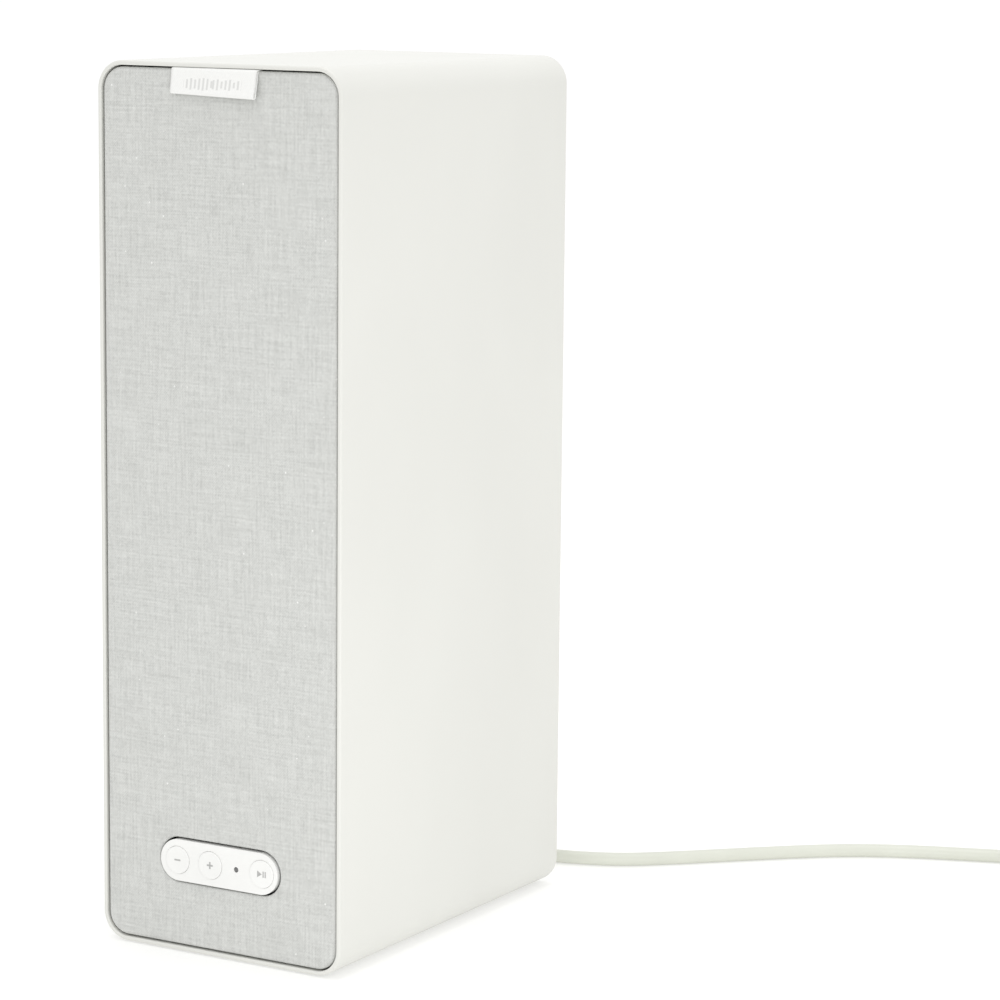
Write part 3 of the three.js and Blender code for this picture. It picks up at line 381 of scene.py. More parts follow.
def extrudedVinyl():
    # soft PVC, extruded: smooth satin skin with faint draw lines along it, a little milky
    material, tree, shader, coordinates = newMaterial("extrudedVinyl", {
        "Roughness": 0.42, "IOR": 1.53, "Coat Weight": 0.15, "Coat Roughness": 0.3,
    })
    broad = cloudy(tree, coordinates.outputs["Object"], (22, 22, 22))
    showPattern(tree, shader, broad, [(0.3, "#d3d5ca"), (0.7, "#d8dacf")])
    lines = addNode(tree, "ShaderNodeMapping", {"Vector": coordinates.outputs["UV"], "Scale": (22, 6, 1)})
    drawn = addNode(tree, "ShaderNodeTexNoise", {"Vector": lines, "Scale": 1.0, "Detail": 2.0})
    showPattern(tree, shader, drawn.outputs["Fac"], (), 0.03, 0.5)
    return material


def mouldedVinyl():
    # soft PVC, injection moulded over the lead's ends: the same white, with a fine matt texture
    material, tree, shader, coordinates = newMaterial("mouldedVinyl", {"Roughness": 0.5, "IOR": 1.53})
    broad = cloudy(tree, coordinates.outputs["Object"], (9, 9, 9))
    showPattern(tree, shader, broad, [(0.3, "#d6d8ce"), (0.7, "#dcddd4")])
    showPattern(tree, shader, cloudy(tree, coordinates.outputs["Object"], (0.5, 0.5, 0.5)), (), 0.02, 0.5)
    return material


def nickelPlate():
    # nickel on brass pins, barrel plated: bright, slightly warm, softly scratched
    material, tree, shader, coordinates = newMaterial(
        "nickelPlatedBrass", {"Metallic": 1.0, "Roughness": 0.25}
    )
    worn = cloudy(tree, coordinates.outputs["Object"], (0.8, 12, 0.8))
    showPattern(tree, shader, worn, [(0.3, "#c9c6bd"), (0.7, "#dedbd2")], 0.02, 0.3)
    return material


def wovenTie():
    # hook-and-loop strap: grey, matt and furry at the scale of a millimetre
    material, tree, shader, coordinates = newMaterial(
        "hookAndLoopTape", {"Roughness": 0.95, "Sheen Weight": 0.5}
    )
    fur = cloudy(tree, coordinates.outputs["Object"], (0.7, 0.7, 0.7), 3)
    showPattern(tree, shader, fur, [(0.3, "#b9bab8"), (0.7, "#d4d5d2")], 0.3, 0.8)
    return material


# the power lead: one line from the connector, down behind the speaker, along the floor and round the coil

lead = {
    "diameter": 5.0, "length": 1500.0, "spacing": 2.5, "sides": 14,
    "coilRadius": 28.3, "coilCentre": (235.7, 101.7), "heading": 20.0, "leadIn": 20.0, "tail": 50.0,
    "lowHeight": 2.6, "highHeight": 7.6, "plugHeight": 6.9,
}
# X, distance behind the cabinet's rear rim, and height, in millimetres
leadRoute = [
    (-13.7, -11.2, 36.7), (-12, -7.2, 26.7), (-8.8, -1.8, 19), (-3.6, 4.2, 13), (3.9, 10.7, 8.3),
    (11.9, 16, 5.5), (20.6, 20.5, 3.8), (30.7, 24.7, 2.8), (40.2, 27.8, 2.6), (50.9, 31.6, 2.6),
    (57.8, 35.1, 2.6), (64.1, 39.5, 2.6), (76, 50, 2.6), (87.6, 61, 2.6), (99.3, 72.1, 2.6),
    (111.2, 83, 2.6), (123.6, 93.1, 2.6), (136.9, 101.3, 2.6), (151, 108, 2.6), (168, 114.6, 2.6),
    (186, 121.3, 2.6),
]
# how the stored turns move from ring to ring: from and to in degrees travelled, and the move in diameters
coilSteps = [
    (110, 360, -1), (470, 720, -1), (830, 1080, -1), (1170, 1420, 1), (1530, 1780, 1), (1890, 2140, 1)
]
firstRing, rise, travelled = 1.5, (1050, 1200), 2270


def eased(value, start, end):
    # 0 up to start, 1 from end on, and 3s^2 - 2s^3 of the share s between them
    share = np.clip((value - start) / (end - start), 0, 1)
    return share * share * (3 - 2 * share)


def storedTurns(rimY):
    # clockwise round the coil: radius = middle + ring x diameter, with one rise from the lower layer
    gone = np.arange(0, travelled + 1, 3.0)
    ring = firstRing + sum(move * eased(gone, start, end) for start, end, move in coilSteps)
    height = lead["lowHeight"] + (lead["highHeight"] - lead["lowHeight"]) * eased(gone, *rise)
    radius = lead["coilRadius"] + ring * lead["diameter"]
    angle = math.radians(90 + lead["heading"]) - np.radians(gone)
    centre = (lead["coilCentre"][0], lead["coilCentre"][1] + rimY)
    x, y = centre[0] + radius * np.cos(angle), centre[1] + radius * np.sin(angle)
    return np.stack([x, y, height], -1), centre


def leadPath():
    rimY = boxOf("cabinet_sleeve")[1][1]
    connectorLow, connectorHigh = boxOf("lead_connector")
    axis = (connectorLow + connectorHigh) / 2
    turns, centre = storedTurns(rimY)
    heading = math.radians(lead["heading"])
    straight = turns[0] - lead["leadIn"] * np.array([math.cos(heading), math.sin(heading), 0])
    route = [(x, y + rimY, z) for x, y, z in leadRoute]
    start = (axis[0], axis[1], connectorLow[2])
    run = smoothPath([start, *route, straight], lead["spacing"])
    fall = np.linspace(0, 1, 25)[1:]
    tailX = centre[0] + lead["coilRadius"] + firstRing * lead["diameter"]
    height = lead["highHeight"] + (lead["plugHeight"] - lead["highHeight"]) * eased(fall, 0, 1)
    tail = np.stack([np.full_like(fall, tailX), centre[1] - lead["tail"] * fall, height], -1)
    return evenly(np.vstack([run, turns, tail]), lead["spacing"])


def buildLead():
    path = leadPath()
    run = np.concatenate([[0], np.cumsum(np.linalg.norm(np.diff(path, axis=0), axis=1))])
    # the upright is level while the lead drops from its connector, and turns to vertical on the floor
    share = eased(run, 60, 110)[:, None]
    upright = (1 - share) * np.array([0.75, -0.65, 0.0]) + share * np.array([0, 0, 1.0])
    points = sweptTube(path, lead["diameter"] / 2, lead["sides"], upright)
    faces = gridFaces(points.shape[0], lead["sides"], closeColumns=True)
    flex = newPiece("power_lead", points, faces, extrudedVinyl(), tubeUv(path, lead["sides"]))
    place(flex, "cabinet", "cord_white", "power_cord", "power_cord_coil")
    print("lead", round(run[-1]), "mm long, stated", round(lead["length"]))
    return flex, path


def lofted(sections, order, arcSteps=5):
    # rounded rectangles of (place, width, depth, corner) joined one after another, closed at both ends
    rings = []
    for along, width, depth, corner in sections:
        outline, _ = roundedOutline(
            width, depth, min(corner, width / 2 - 0.01, depth / 2 - 0.01), arcSteps=arcSteps
        )
        rings.append(np.stack([outline[:, 0], outline[:, 1], np.full(len(outline), along)], -1))
    rings = [
        np.broadcast_to(rings[0].mean(0), rings[0].shape), *rings,
        np.broadcast_to(rings[-1].mean(0), rings[-1].shape)
    ]
    return np.stack(rings)[..., list(order)]


def rib(top, count, pitch, wide, deep, small, fade):
    # sections of a ribbed strain relief, tapering down from top: each rib is a wide ring, then a narrow one
    made = []
    for i in range(count):
        size = 1 - fade * i / count
        at = top - i * pitch
        for drop, scale in ((0, 1), (0.6 * pitch, 1), (0.68 * pitch, small), (0.92 * pitch, small)):
            made.append((at - drop, wide * size * scale, deep * size * scale, 9))
    return made


connector = {"body": 15.0, "ribs": 7, "ribPitch": 2.7, "clear": 0.3}
plug = {"relief": 20.0, "body": 36.0, "ribs": 7, "ribPitch": 2.7, "pinApart": 18.6, "pinRadius": 2.0}


def buildLeadEnds(flex, path):
    low, high = boxOf("lead_connector")
    axis, foot = (low + high) / 2, low[2]
    body = {
        "width": high[0] - low[0], "depth": high[1] - low[1],
        "top": boxOf("mains_inlet")[0][2] - connector["clear"]
    }
    bodyFoot = body["top"] - connector["body"]
    nose = [(high[2], 13.4, 6.6, 3.3), (high[2] - 0.5, 14, 7.2, 3.6), (body["top"] - 0.01, 14, 7.2, 3.6)]
    shell = [
        (body["top"], body["width"] - 1.4, body["depth"] - 1.4, 3.4),
        (body["top"] - 0.7, body["width"], body["depth"], 4),
        (bodyFoot + 7, body["width"], body["depth"], 4),
        (bodyFoot + 3, body["width"] * 0.88, body["depth"], 4),
        (bodyFoot, 8.6, 8.4, 4.2),
    ]
    ribs = rib(bodyFoot - 0.4, connector["ribs"], connector["ribPitch"], 8.2, 8.0, 0.8, 0.3)
    relief = [section for section in ribs if section[0] > foot + 0.3]
    sections = nose + shell + relief + [(foot, 5.6, 5.6, 2.8)]
    points = lofted(sections, (0, 1, 2), 6) + np.array([axis[0], axis[1], 0])
    vinyl = mouldedVinyl()
    connectorPiece = newPiece(
        "lead_connector_made", points, gridFaces(*points.shape[:2], closeColumns=True), vinyl
    )
    place(connectorPiece, "cabinet", "cord_white", "lead_connector")

    low, high = boxOf("mains_plug")
    endY = high[1]
    axisX, axisZ = (low[0] + high[0]) / 2, (low[2] + high[2]) / 2
    body = -plug["relief"]
    ribs = reversed(rib(0, plug["ribs"], plug["ribPitch"], 9.4, 9.4, 0.8, 0.32))
    bodySections = [
        (0, 5.8, 5.8, 2.9), *[(body - along, *size) for along, *size in ribs],
        (body, 12, 11.6, 5), (body - 5, 16, 12.6, 5.2), (body - 12.6, 25.4, 13.2, 5.4),
        (body - 15, 26, 13.4, 5.4), (body - 34.6, 26, 13.4, 5.4), (body - plug["body"], 24, 11.6, 4.8),
    ]
    points = lofted(bodySections, (0, 2, 1), 6) + np.array([axisX, endY, axisZ])
    plugBody = newPiece("mains_plug_made", points, gridFaces(*points.shape[:2], closeColumns=True), vinyl)
    place(plugBody, "cabinet", "cord_white", "mains_plug")
    pinRoot = endY + body - plug["body"]
    thick, tip = plug["pinRadius"], 1.2
    profile = [
        (0, pinRoot + 1), (thick, pinRoot + 1), (thick, low[1] + tip),
        *arc((thick - tip, low[1] + tip), tip, 0, -90, 4), (0, low[1]),
    ]
    pins = [spun(profile, (axisX + side * plug["pinApart"] / 2, 0, axisZ), "y", 20) for side in (-1, 1)]
    faces = gridFaces(len(profile), 20, closeColumns=True)
    both = np.concatenate([p.reshape(-1, 3) for p in pins])
    pinPair = newPiece(
        "mains_plug_pins", both, np.concatenate([faces, faces + len(both) // 2]), nickelPlate()
    )
    place(pinPair, "cabinet", "zinc_steel")

    buildTie()


def buildTie():
    # a strap round the stored turns: a flat band carried round their section, square to the coil at one place
    strap = {"wide": 9.0, "thick": 0.7, "angle": 200.0, "section": (20.6, 10.8), "corner": 4.5}
    rimY = boxOf("cabinet_sleeve")[1][1]
    outline = roundedOutline(
        *strap["section"], strap["corner"], (lead["coilRadius"], strap["section"][1] / 2), arcSteps=6
    )
    half, thick = strap["wide"] / 2, strap["thick"]
    band = carriedRound([(0, -half), (0, half), (thick, half), (thick, -half)], outline)
    turn = math.radians(strap["angle"])
    out, along, z = band[..., 0], band[..., 1], band[..., 2]
    x = out * math.cos(turn) - along * math.sin(turn) + lead["coilCentre"][0]
    y = out * math.sin(turn) + along * math.cos(turn) + lead["coilCentre"][1] + rimY
    points = np.stack([x, y, z], -1)
    faces = gridFaces(*points.shape[:2], closeRows=True, closeColumns=True)
    return place(newPiece("lead_tie", points, faces, wovenTie()), "cabinet", "felt")


buildLeadEnds(*buildLead())
print("lead, connector, plug and tie ready")


# materials of the cabinet

def mouldedAbs():
    # white ABS, injection moulded in a spark-eroded mould: a fine even satin, a touch warm, slightly uneven
    material, tree, shader, coordinates = newMaterial("mouldedAbsSatin", {
        "Roughness": 0.42, "IOR": 1.54, "Coat Weight": 0.05, "Coat Roughness": 0.35,
    })
    spot = coordinates.outputs["Object"]
    flow = cloudy(tree, spot, (60, 60, 110))
    showPattern(tree, shader, flow, [(0.3, "#d7d7d2"), (0.7, "#dadad5")])
    # the eroded grain is about 0.1 mm; it is drawn at 0.6 mm so that it shows
    grain = cloudy(tree, spot, (0.6, 0.6, 0.6), 3)
    sheen = addNode(tree, "ShaderNodeMapRange", {"Value": grain, "To Min": 0.38, "To Max": 0.47})
    tree.links.new(sheen.outputs["Result"], shader.inputs["Roughness"])
    waves = cloudy(tree, spot, (45, 45, 70))
    under = showPattern(tree, shader, waves, (), 0.25, 0.15)
    showPattern(tree, shader, grain, (), 0.02, 0.5, under)
    return material


def polishedAbs():
    # the same white ABS from a polished mould, on the control bezel and its buttons: smoother and brighter
    material, tree, shader, coordinates = newMaterial("mouldedAbsPolished", {
        "Roughness": 0.28, "IOR": 1.54, "Coat Weight": 0.1, "Coat Roughness": 0.15,
    })
    spot = coordinates.outputs["Object"]
    flow = cloudy(tree, spot, (14, 14, 14))
    showPattern(tree, shader, flow, [(0.3, "#e6e6e4"), (0.7, "#eaeae8")])
    showPattern(tree, shader, cloudy(tree, spot, (3, 3, 3)), (), 0.02, 0.3)
    return material


def blackNylon():
    # black ABS and glass-filled nylon, moulded: dull, with a pebbled grain
    material, tree, shader, coordinates = newMaterial("mouldedBlackPlastic", {"Roughness": 0.55, "IOR": 1.52})
    spot = coordinates.outputs["Object"]
    pebble = cloudy(tree, spot, (0.9, 0.9, 0.9), 3)
    showPattern(tree, shader, pebble, [(0.3, "#1b1c1e"), (0.7, "#26272a")], 0.06, 0.6)
    return material


def mouldedRubber():
    # butyl and silicone rubber, moulded: deep grey, soft and dusty
    material, tree, shader, coordinates = newMaterial("mouldedRubber", {"Roughness": 0.75, "IOR": 1.52})
    dust = cloudy(tree, coordinates.outputs["Object"], (1.5, 1.5, 1.5), 4)
    showPattern(tree, shader, dust, [(0.3, "#242424"), (0.7, "#363635")], 0.04, 0.4)
    return material


def pressedPaper():
    # paper pulp pressed and dyed black, as on a cone: fibres show as short streaks
    material, tree, shader, coordinates = newMaterial("pressedPaperPulp", {"Roughness": 0.85})
    spot = coordinates.outputs["Object"]
    fibre = cloudy(tree, spot, (0.4, 0.4, 2.2), 4)
    showPattern(tree, shader, fibre, [(0.3, "#18181a"), (0.7, "#2a2a2c")], 0.12, 0.7)
    return material


def lacqueredWinding():
    # enamelled copper wire and amber former paper: fine turns, 0.3 mm apart
    material, tree, shader, coordinates = newMaterial(
        "lacqueredCopperWinding", {"Roughness": 0.4, "IOR": 1.5}
    )
    moved = addNode(
        tree, "ShaderNodeMapping", {"Vector": coordinates.outputs["Object"], "Scale": (1 / mm,) * 3}
    )
    turns = addNode(
        tree, "ShaderNodeTexWave", {"Vector": moved, "Scale": 0.55, "Distortion": 0.6}, bands_direction="Y"
    )
    showPattern(tree, shader, turns.outputs["Fac"], [(0.2, "#8a4f22"), (0.8, "#c98f4a")], 0.1, 0.6)
    return material


def zincSteel():
    # steel, pressed or turned, and zinc plated: pale grey with a bluish mottle
    material, tree, shader, coordinates = newMaterial("zincPlatedSteel", {"Metallic": 1.0, "Roughness": 0.35})
    mottle = cloudy(tree, coordinates.outputs["Object"], (2.5, 2.5, 2.5), 4)
    showPattern(tree, shader, mottle, [(0.3, "#a9adb3"), (0.7, "#c9cdd1")])
    worn = addNode(tree, "ShaderNodeMapRange", {"Value": mottle, "To Min": 0.28, "To Max": 0.45})
    tree.links.new(worn.outputs["Result"], shader.inputs["Roughness"])
    showPattern(tree, shader, cloudy(tree, coordinates.outputs["Object"], (0.3, 3, 0.3)), (), 0.02, 0.4)
    return material


def sinteredFerrite():
    # ferrite, pressed, fired and ground: charcoal, with a faint sparkle
    material, tree, shader, coordinates = newMaterial(
        "sinteredFerrite", {"Roughness": 0.6, "Specular IOR Level": 0.7}
    )
    grit = cloudy(tree, coordinates.outputs["Object"], (0.5, 0.5, 0.5), 4)
    showPattern(tree, shader, grit, [(0.35, "#303134"), (0.7, "#46474a")], 0.05, 0.5)
    return material


def glassEpoxy():
    # glass-epoxy board under green solder resist: tracks show as paler lines in a 2.5 mm grid
    material, tree, shader, coordinates = newMaterial(
        "solderResistOnGlassEpoxy", {"Roughness": 0.35, "Coat Weight": 0.3}
    )
    moved = addNode(
        tree, "ShaderNodeMapping", {"Vector": coordinates.outputs["Object"], "Scale": (400, 400, 400)}
    )
    tracks = addNode(tree, "ShaderNodeTexVoronoi", {"Vector": moved, "Scale": 1.0}, distance="CHEBYCHEV")
    showPattern(tree, shader, tracks.outputs["Distance"], [(0.30, "#2c7a50"), (0.36, "#1b5a39")], 0.05, 0.4)
    return material


def tinPlate():
    # tin-plated sheet, stamped: bright, with soft spangle
    material, tree, shader, coordinates = newMaterial("tinPlatedSheet", {"Metallic": 1.0, "Roughness": 0.28})
    spangle = cloudy(tree, coordinates.outputs["Object"], (1.6, 1.6, 1.6), 2)
    showPattern(tree, shader, spangle, [(0.3, "#bfc1c3"), (0.7, "#d9dadb")], 0.02, 0.3)
    return material


def pressedFelt():
    # polyester felt and foam, needled and pressed: grey, fuzzy, uneven
    material, tree, shader, coordinates = newMaterial("needledFelt", {"Roughness": 1.0, "Sheen Weight": 0.4})
    fuzz = cloudy(tree, coordinates.outputs["Object"], (0.8, 0.8, 0.8), 5)
    showPattern(tree, shader, fuzz, [(0.3, "#57595c"), (0.7, "#7c7e82")], 0.4, 0.9)
    return material


def smokedAcrylic():
    # smoked acrylic light pipe: dark, glossy, a little cloudy
    material, tree, shader, coordinates = newMaterial("smokedAcrylic", {
        "Roughness": 0.18, "IOR": 1.49, "Coat Weight": 0.5, "Coat Roughness": 0.1,
    })
    cloud = cloudy(tree, coordinates.outputs["Object"], (0.7, 0.7, 0.7))
    showPattern(tree, shader, cloud, [(0.3, "#5a5a5a"), (0.7, "#6c6c6b")])
    return material


def printedInk():
    # grey pad-printed ink on the buttons: matt, slightly thin towards its middle
    material, tree, shader, coordinates = newMaterial("padPrintedInk", {"Roughness": 0.6})
    thin = cloudy(tree, coordinates.outputs["Object"], (0.5, 0.5, 0.5))
    showPattern(tree, shader, thin, [(0.3, "#a2a2a1"), (0.7, "#b2b2b0")])
    return material


# pitch of the threads, length of the slubs and distance between light nubs, in millimetres
weave = {
    "pitch": 0.95, "slub": 16.0, "nubPitch": 5.5, "nubShare": 0.06,
    "light": "#d2d3d0", "middle": "#c5c6c3", "dark": "#b4b5b2",
}


def linenCloth():
    # polyester yarn with slubs, plain woven: pale grey, with light and dark streaks along both threads
    # the real pitch is about 0.5 mm; it is drawn at 0.95 mm so that it shows
    material, tree, shader, coordinates = newMaterial(
        "plainWovenSlubCloth", {"Roughness": 0.9, "Sheen Weight": 0.15, "Sheen Roughness": 0.6}
    )
    spot = coordinates.outputs["Object"]
    wobble = addNode(tree, "ShaderNodeTexNoise", {"Vector": spot, "Scale": 1 / (5 * mm), "Detail": 2.0})
    pushed = addNode(
        tree, "ShaderNodeVectorMath", {0: wobble.outputs["Color"], "Scale": 0.25 * mm}, operation="SCALE"
    )
    displaced = addNode(tree, "ShaderNodeVectorMath", {0: spot, 1: pushed}, operation="ADD")
    scaled = addNode(
        tree, "ShaderNodeMapping", {"Vector": displaced, "Scale": (2 * math.pi / (weave["pitch"] * mm),) * 3}
    )
    axes = addNode(tree, "ShaderNodeSeparateXYZ", {0: scaled})
    warp = addNode(tree, "ShaderNodeMath", {0: axes.outputs["X"]}, operation="SINE")
    weft = addNode(tree, "ShaderNodeMath", {0: axes.outputs["Z"]}, operation="SINE")
    crossing = addNode(tree, "ShaderNodeMath", {0: warp, 1: weft}, operation="MULTIPLY")
    threads = addNode(tree, "ShaderNodeMapRange", {"Value": crossing, "From Min": -1.0, "From Max": 1.0})
    upright = cloudy(tree, spot, (0.8, 0, weave["slub"]), 3)
    level = cloudy(tree, spot, (weave["slub"], 0, 0.8), 3, (7, 3, 5))
    fine = cloudy(tree, spot, (0.7, 0.7, 0.7), 2)
    both = addNode(tree, "ShaderNodeMath", {0: upright, 1: level}, operation="ADD")
    mixed = addNode(tree, "ShaderNodeMath", {0: both, 1: fine}, operation="ADD")
    toned = addNode(tree, "ShaderNodeMath", {0: threads, 1: 0.35, 2: mixed}, operation="MULTIPLY_ADD")
    shade = addNode(tree, "ShaderNodeMapRange", {"Value": toned, "From Min": 1.2, "From Max": 2.15})
    yarn = addNode(
        tree, "ShaderNodeValToRGB", {"Fac": shade},
        [(0.0, weave["dark"]), (0.5, weave["middle"]), (1.0, weave["light"])]
    )
    # a light nub here and there, each of its own strength
    knots = addNode(tree, "ShaderNodeTexVoronoi", {"Vector": spot, "Scale": 1 / (weave["nubPitch"] * mm)})
    nub = addNode(
        tree, "ShaderNodeMath", {0: knots.outputs["Distance"], 1: weave["nubShare"]}, operation="LESS_THAN"
    )
    strength = addNode(tree, "ShaderNodeSeparateXYZ", {0: knots.outputs["Color"]})
    faded = addNode(tree, "ShaderNodeMath", {0: nub, 1: strength.outputs["X"]}, operation="MULTIPLY")
    speckled = addNode(
        tree, "ShaderNodeMix", {"Factor": faded, "A": yarn, "B": linearColour("#e8e8e6")}, data_type="RGBA"
    )
    tree.links.new(speckled.outputs["Result"], shader.inputs["Base Color"])
    showPattern(tree, shader, shade, (), 0.1, 0.6)
    return material


# the row of bars woven into the ribbon, in millimetres; short and tall are half heights
bars = {"pitch": 1.7, "wide": 0.8, "short": 0.7, "tall": 2.1, "halfRow": 12.0}


def wovenRibbon():
    # white polyester ribbon, twill woven; a faint grey row of bars is woven in, like a sound level
    material, tree, shader, coordinates = newMaterial(
        "wovenTwillRibbon", {"Roughness": 0.8, "Sheen Weight": 0.2}
    )
    spot = coordinates.outputs["Object"]
    moved = addNode(
        tree, "ShaderNodeMapping",
        {"Vector": spot, "Scale": (1 / mm,) * 3, "Rotation": (0, math.radians(38), 0)}
    )
    twill = addNode(
        tree, "ShaderNodeTexWave", {"Vector": moved, "Scale": 0.5, "Distortion": 0.3}, bands_direction="X"
    )
    fuzz = cloudy(tree, spot, (0.6, 0.6, 0.6), 3)
    tone = addNode(
        tree, "ShaderNodeMath", {0: twill.outputs["Fac"], 1: 0.4, 2: fuzz}, operation="MULTIPLY_ADD"
    )
    white = addNode(tree, "ShaderNodeValToRGB", {"Fac": tone}, [(0.3, "#e2e2e0"), (0.9, "#ebebe9")])
    # from the ribbon's middle, in millimetres
    low, high = boxOf("pull_tab")
    centredOn = addNode(tree, "ShaderNodeMapping", {
        "Vector": spot, "Location": tuple(-(low + high) / 2), "Scale": (1 / mm,) * 3,
    })
    axes = addNode(tree, "ShaderNodeSeparateXYZ", {0: centredOn})
    period = addNode(tree, "ShaderNodeMath", {0: axes.outputs["X"], 1: bars["pitch"]}, operation="MODULO")
    centred = addNode(tree, "ShaderNodeMath", {0: period}, operation="ABSOLUTE")
    bar = addNode(tree, "ShaderNodeMath", {0: centred, 1: bars["wide"]}, operation="LESS_THAN")
    column = addNode(tree, "ShaderNodeMath", {0: axes.outputs["X"], 1: bars["pitch"]}, operation="SNAP")
    seed = addNode(tree, "ShaderNodeTexWhiteNoise", {"W": column}, noise_dimensions="1D")
    reach = addNode(
        tree, "ShaderNodeMapRange",
        {"Value": seed.outputs["Value"], "To Min": bars["short"], "To Max": bars["tall"]}
    )
    rise = addNode(tree, "ShaderNodeMath", {0: axes.outputs["Z"]}, operation="ABSOLUTE")
    tall = addNode(tree, "ShaderNodeMath", {0: rise, 1: reach}, operation="LESS_THAN")
    side = addNode(tree, "ShaderNodeMath", {0: axes.outputs["X"]}, operation="ABSOLUTE")
    within = addNode(tree, "ShaderNodeMath", {0: side, 1: bars["halfRow"]}, operation="LESS_THAN")
    shown = addNode(tree, "ShaderNodeMath", {0: bar, 1: tall}, operation="MULTIPLY")
    mask = addNode(tree, "ShaderNodeMath", {0: shown, 1: within}, operation="MULTIPLY")
    woven = addNode(
        tree, "ShaderNodeMix", {"Factor": mask, "A": white, "B": linearColour("#d2d2d0")}, data_type="RGBA"
    )
    tree.links.new(woven.outputs["Result"], shader.inputs["Base Color"])
    showPattern(tree, shader, tone, (), 0.08, 0.6)
    return material


satin, polished, black, rubber = mouldedAbs(), polishedAbs(), blackNylon(), mouldedRubber()
pulp, winding, zinc, ferrite = pressedPaper(), lacqueredWinding(), zincSteel(), sinteredFerrite()
board, tin, felt, smoked, ink = glassEpoxy(), tinPlate(), pressedFelt(), smokedAcrylic(), printedInk()
cloth, ribbon = linenCloth(), wovenRibbon()
print("materials ready")


# the cabinet

cabinet = {
    "corner": 10.0, "wall": 3.0, "lip": 1.6, "pocket": 16.0, "rimOuter": 0.95, "rimInner": 0.45,
    "bossInset": 7.0, "bossLength": 14.0, "bossRadius": 3.5, "boreRadius": 1.6,
}


def sleeveOutline(arcSteps=18, side=(0.004, 0.996)):
    low, high = boxOf("cabinet_sleeve")
    return roundedOutline(
        high[0] - low[0], high[2] - low[2], cabinet["corner"], (0, (low[2] + high[2]) / 2), arcSteps, side,
    )


def buildSleeve():
    # a closed profile of (inset, y) carried round the cabinet's outline: thick wall, thin rounded lips
    low, high = boxOf("cabinet_sleeve")
    front, back = low[1], high[1]
    lip, wall = cabinet["lip"], cabinet["wall"]
    outer, inner = cabinet["rimOuter"], cabinet["rimInner"]  # radii of the lips' rounded edges
    shoulder = front + cabinet["pocket"]
    rearShoulder = boxOf("rear_panel")[1][1] - 2.8
    hold = 0.25  # a narrow flat beside each edge keeps its shading crisp
    profile = [
        *arc((outer, front + outer), outer, 180, 270, 7),
        *arc((lip - inner, front + inner), inner, 270, 360, 4),
        (lip, front + inner + hold), (lip, shoulder - hold), (lip, shoulder),
        (wall, shoulder), (wall, shoulder + hold), (wall, rearShoulder - hold), (wall, rearShoulder),
        (lip, rearShoulder), (lip, rearShoulder + hold), (lip, back - inner - hold),
        *arc((lip - inner, back - inner), inner, 0, 90, 4), *arc((outer, back - outer), outer, 90, 180, 7),
        (0, back - outer - hold), (0, back - 12), (0, front + 12), (0, front + outer + hold),
    ]
    points = carriedRound(profile, sleeveOutline())
    faces = gridFaces(*points.shape[:2], closeRows=True, closeColumns=True)
    sleeve = newPiece("cabinet_sleeve_made", points, faces, satin)
    place(sleeve, "cabinet", "shell_white", "cabinet_sleeve")
    # eight bored bosses in the corners take the screws of the baffle and the rear panel
    halfX, middleZ = high[0] - cabinet["bossInset"], (low[2] + high[2]) / 2
    halfZ = (high[2] - low[2]) / 2 - cabinet["bossInset"]
    bore, wide, length = cabinet["boreRadius"], cabinet["bossRadius"], cabinet["bossLength"]
    tubes = []
    for start, end in [(shoulder + 0.01, shoulder + length), (rearShoulder - length, rearShoulder - 0.01)]:
        profile = [
            (bore, start), (wide - 0.2, start), (wide, start + 0.2),
            (wide, end - 0.2), (wide - 0.2, end), (bore, end),
        ]
        tubes += [
            spun(profile, (x * halfX, 0, middleZ + z * halfZ), "y", 24) for x in (-1, 1) for z in (-1, 1)
        ]
    one = gridFaces(6, 24, closeRows=True, closeColumns=True)
    count = tubes[0].shape[0] * tubes[0].shape[1]
    points = np.concatenate([t.reshape(-1, 3) for t in tubes])
    faces = np.concatenate([one + i * count for i in range(len(tubes))])
    place(newPiece("screw_bosses", points, faces, satin), "cabinet", "shell_white")


def buildFeet():
    # a low puck with a rounded lower edge and a shallow dish underneath
    for i in range(1, 5):
        low, high = boxOf(f"foot_{i}")
        middle, radius, top = (low + high) / 2, (high[0] - low[0]) / 2, high[2]
        profile = [
            (0, 0.25), (3.6, 0.25), (4.2, 0.0), (5.2, 0.0), *arc((radius - 0.7, 0.7), 0.7, -80, 0, 4),
            (radius, top), (0, top),
        ]
        points = spun(profile, (middle[0], middle[1], 0), "z", 40)
        faces = gridFaces(len(profile), 40, closeColumns=True)
        place(newPiece(f"foot_{i}_made", points, faces, rubber), "cabinet", "rubber", f"foot_{i}")


def buildBack():
    place(cadCopy("rear_panel", satin, 0.35, 3), "cabinet", "shell_white", "rear_panel")
    place(cadCopy("hanger_plate", zinc, 0.25), "cabinet", "zinc_steel", "hanger_plate")
    for i in range(1, 5):
        place(cadCopy(f"rear_screw_{i}", zinc, 0.12), "cabinet", "zinc_steel", f"rear_screw_{i}")
    place(cadCopy("mains_inlet", black, 0.2), "cabinet", "black_plastic", "mains_inlet")
    place(cadCopy("ethernet_socket", tin, 0.15), "cabinet", "tin", "ethernet_socket")


buildSleeve()
buildFeet()
buildBack()
print("cabinet, feet and back ready")


# the grille: cloth over its frame, and the ribbon that pulls it off

grille = {
    "inset": 2.15, "edge": 1.2, "thickness": 0.5, "holeGap": 0.7, "holeEdge": 0.6, "turnedIn": 2.6,
    "sideSteps": 120, "faceRows": 14, "flat": (0.106, 0.315),
}
tab = {"thick": 0.42, "foldRadius": 0.62, "nearSide": 0.55, "shortSide": 0.12}


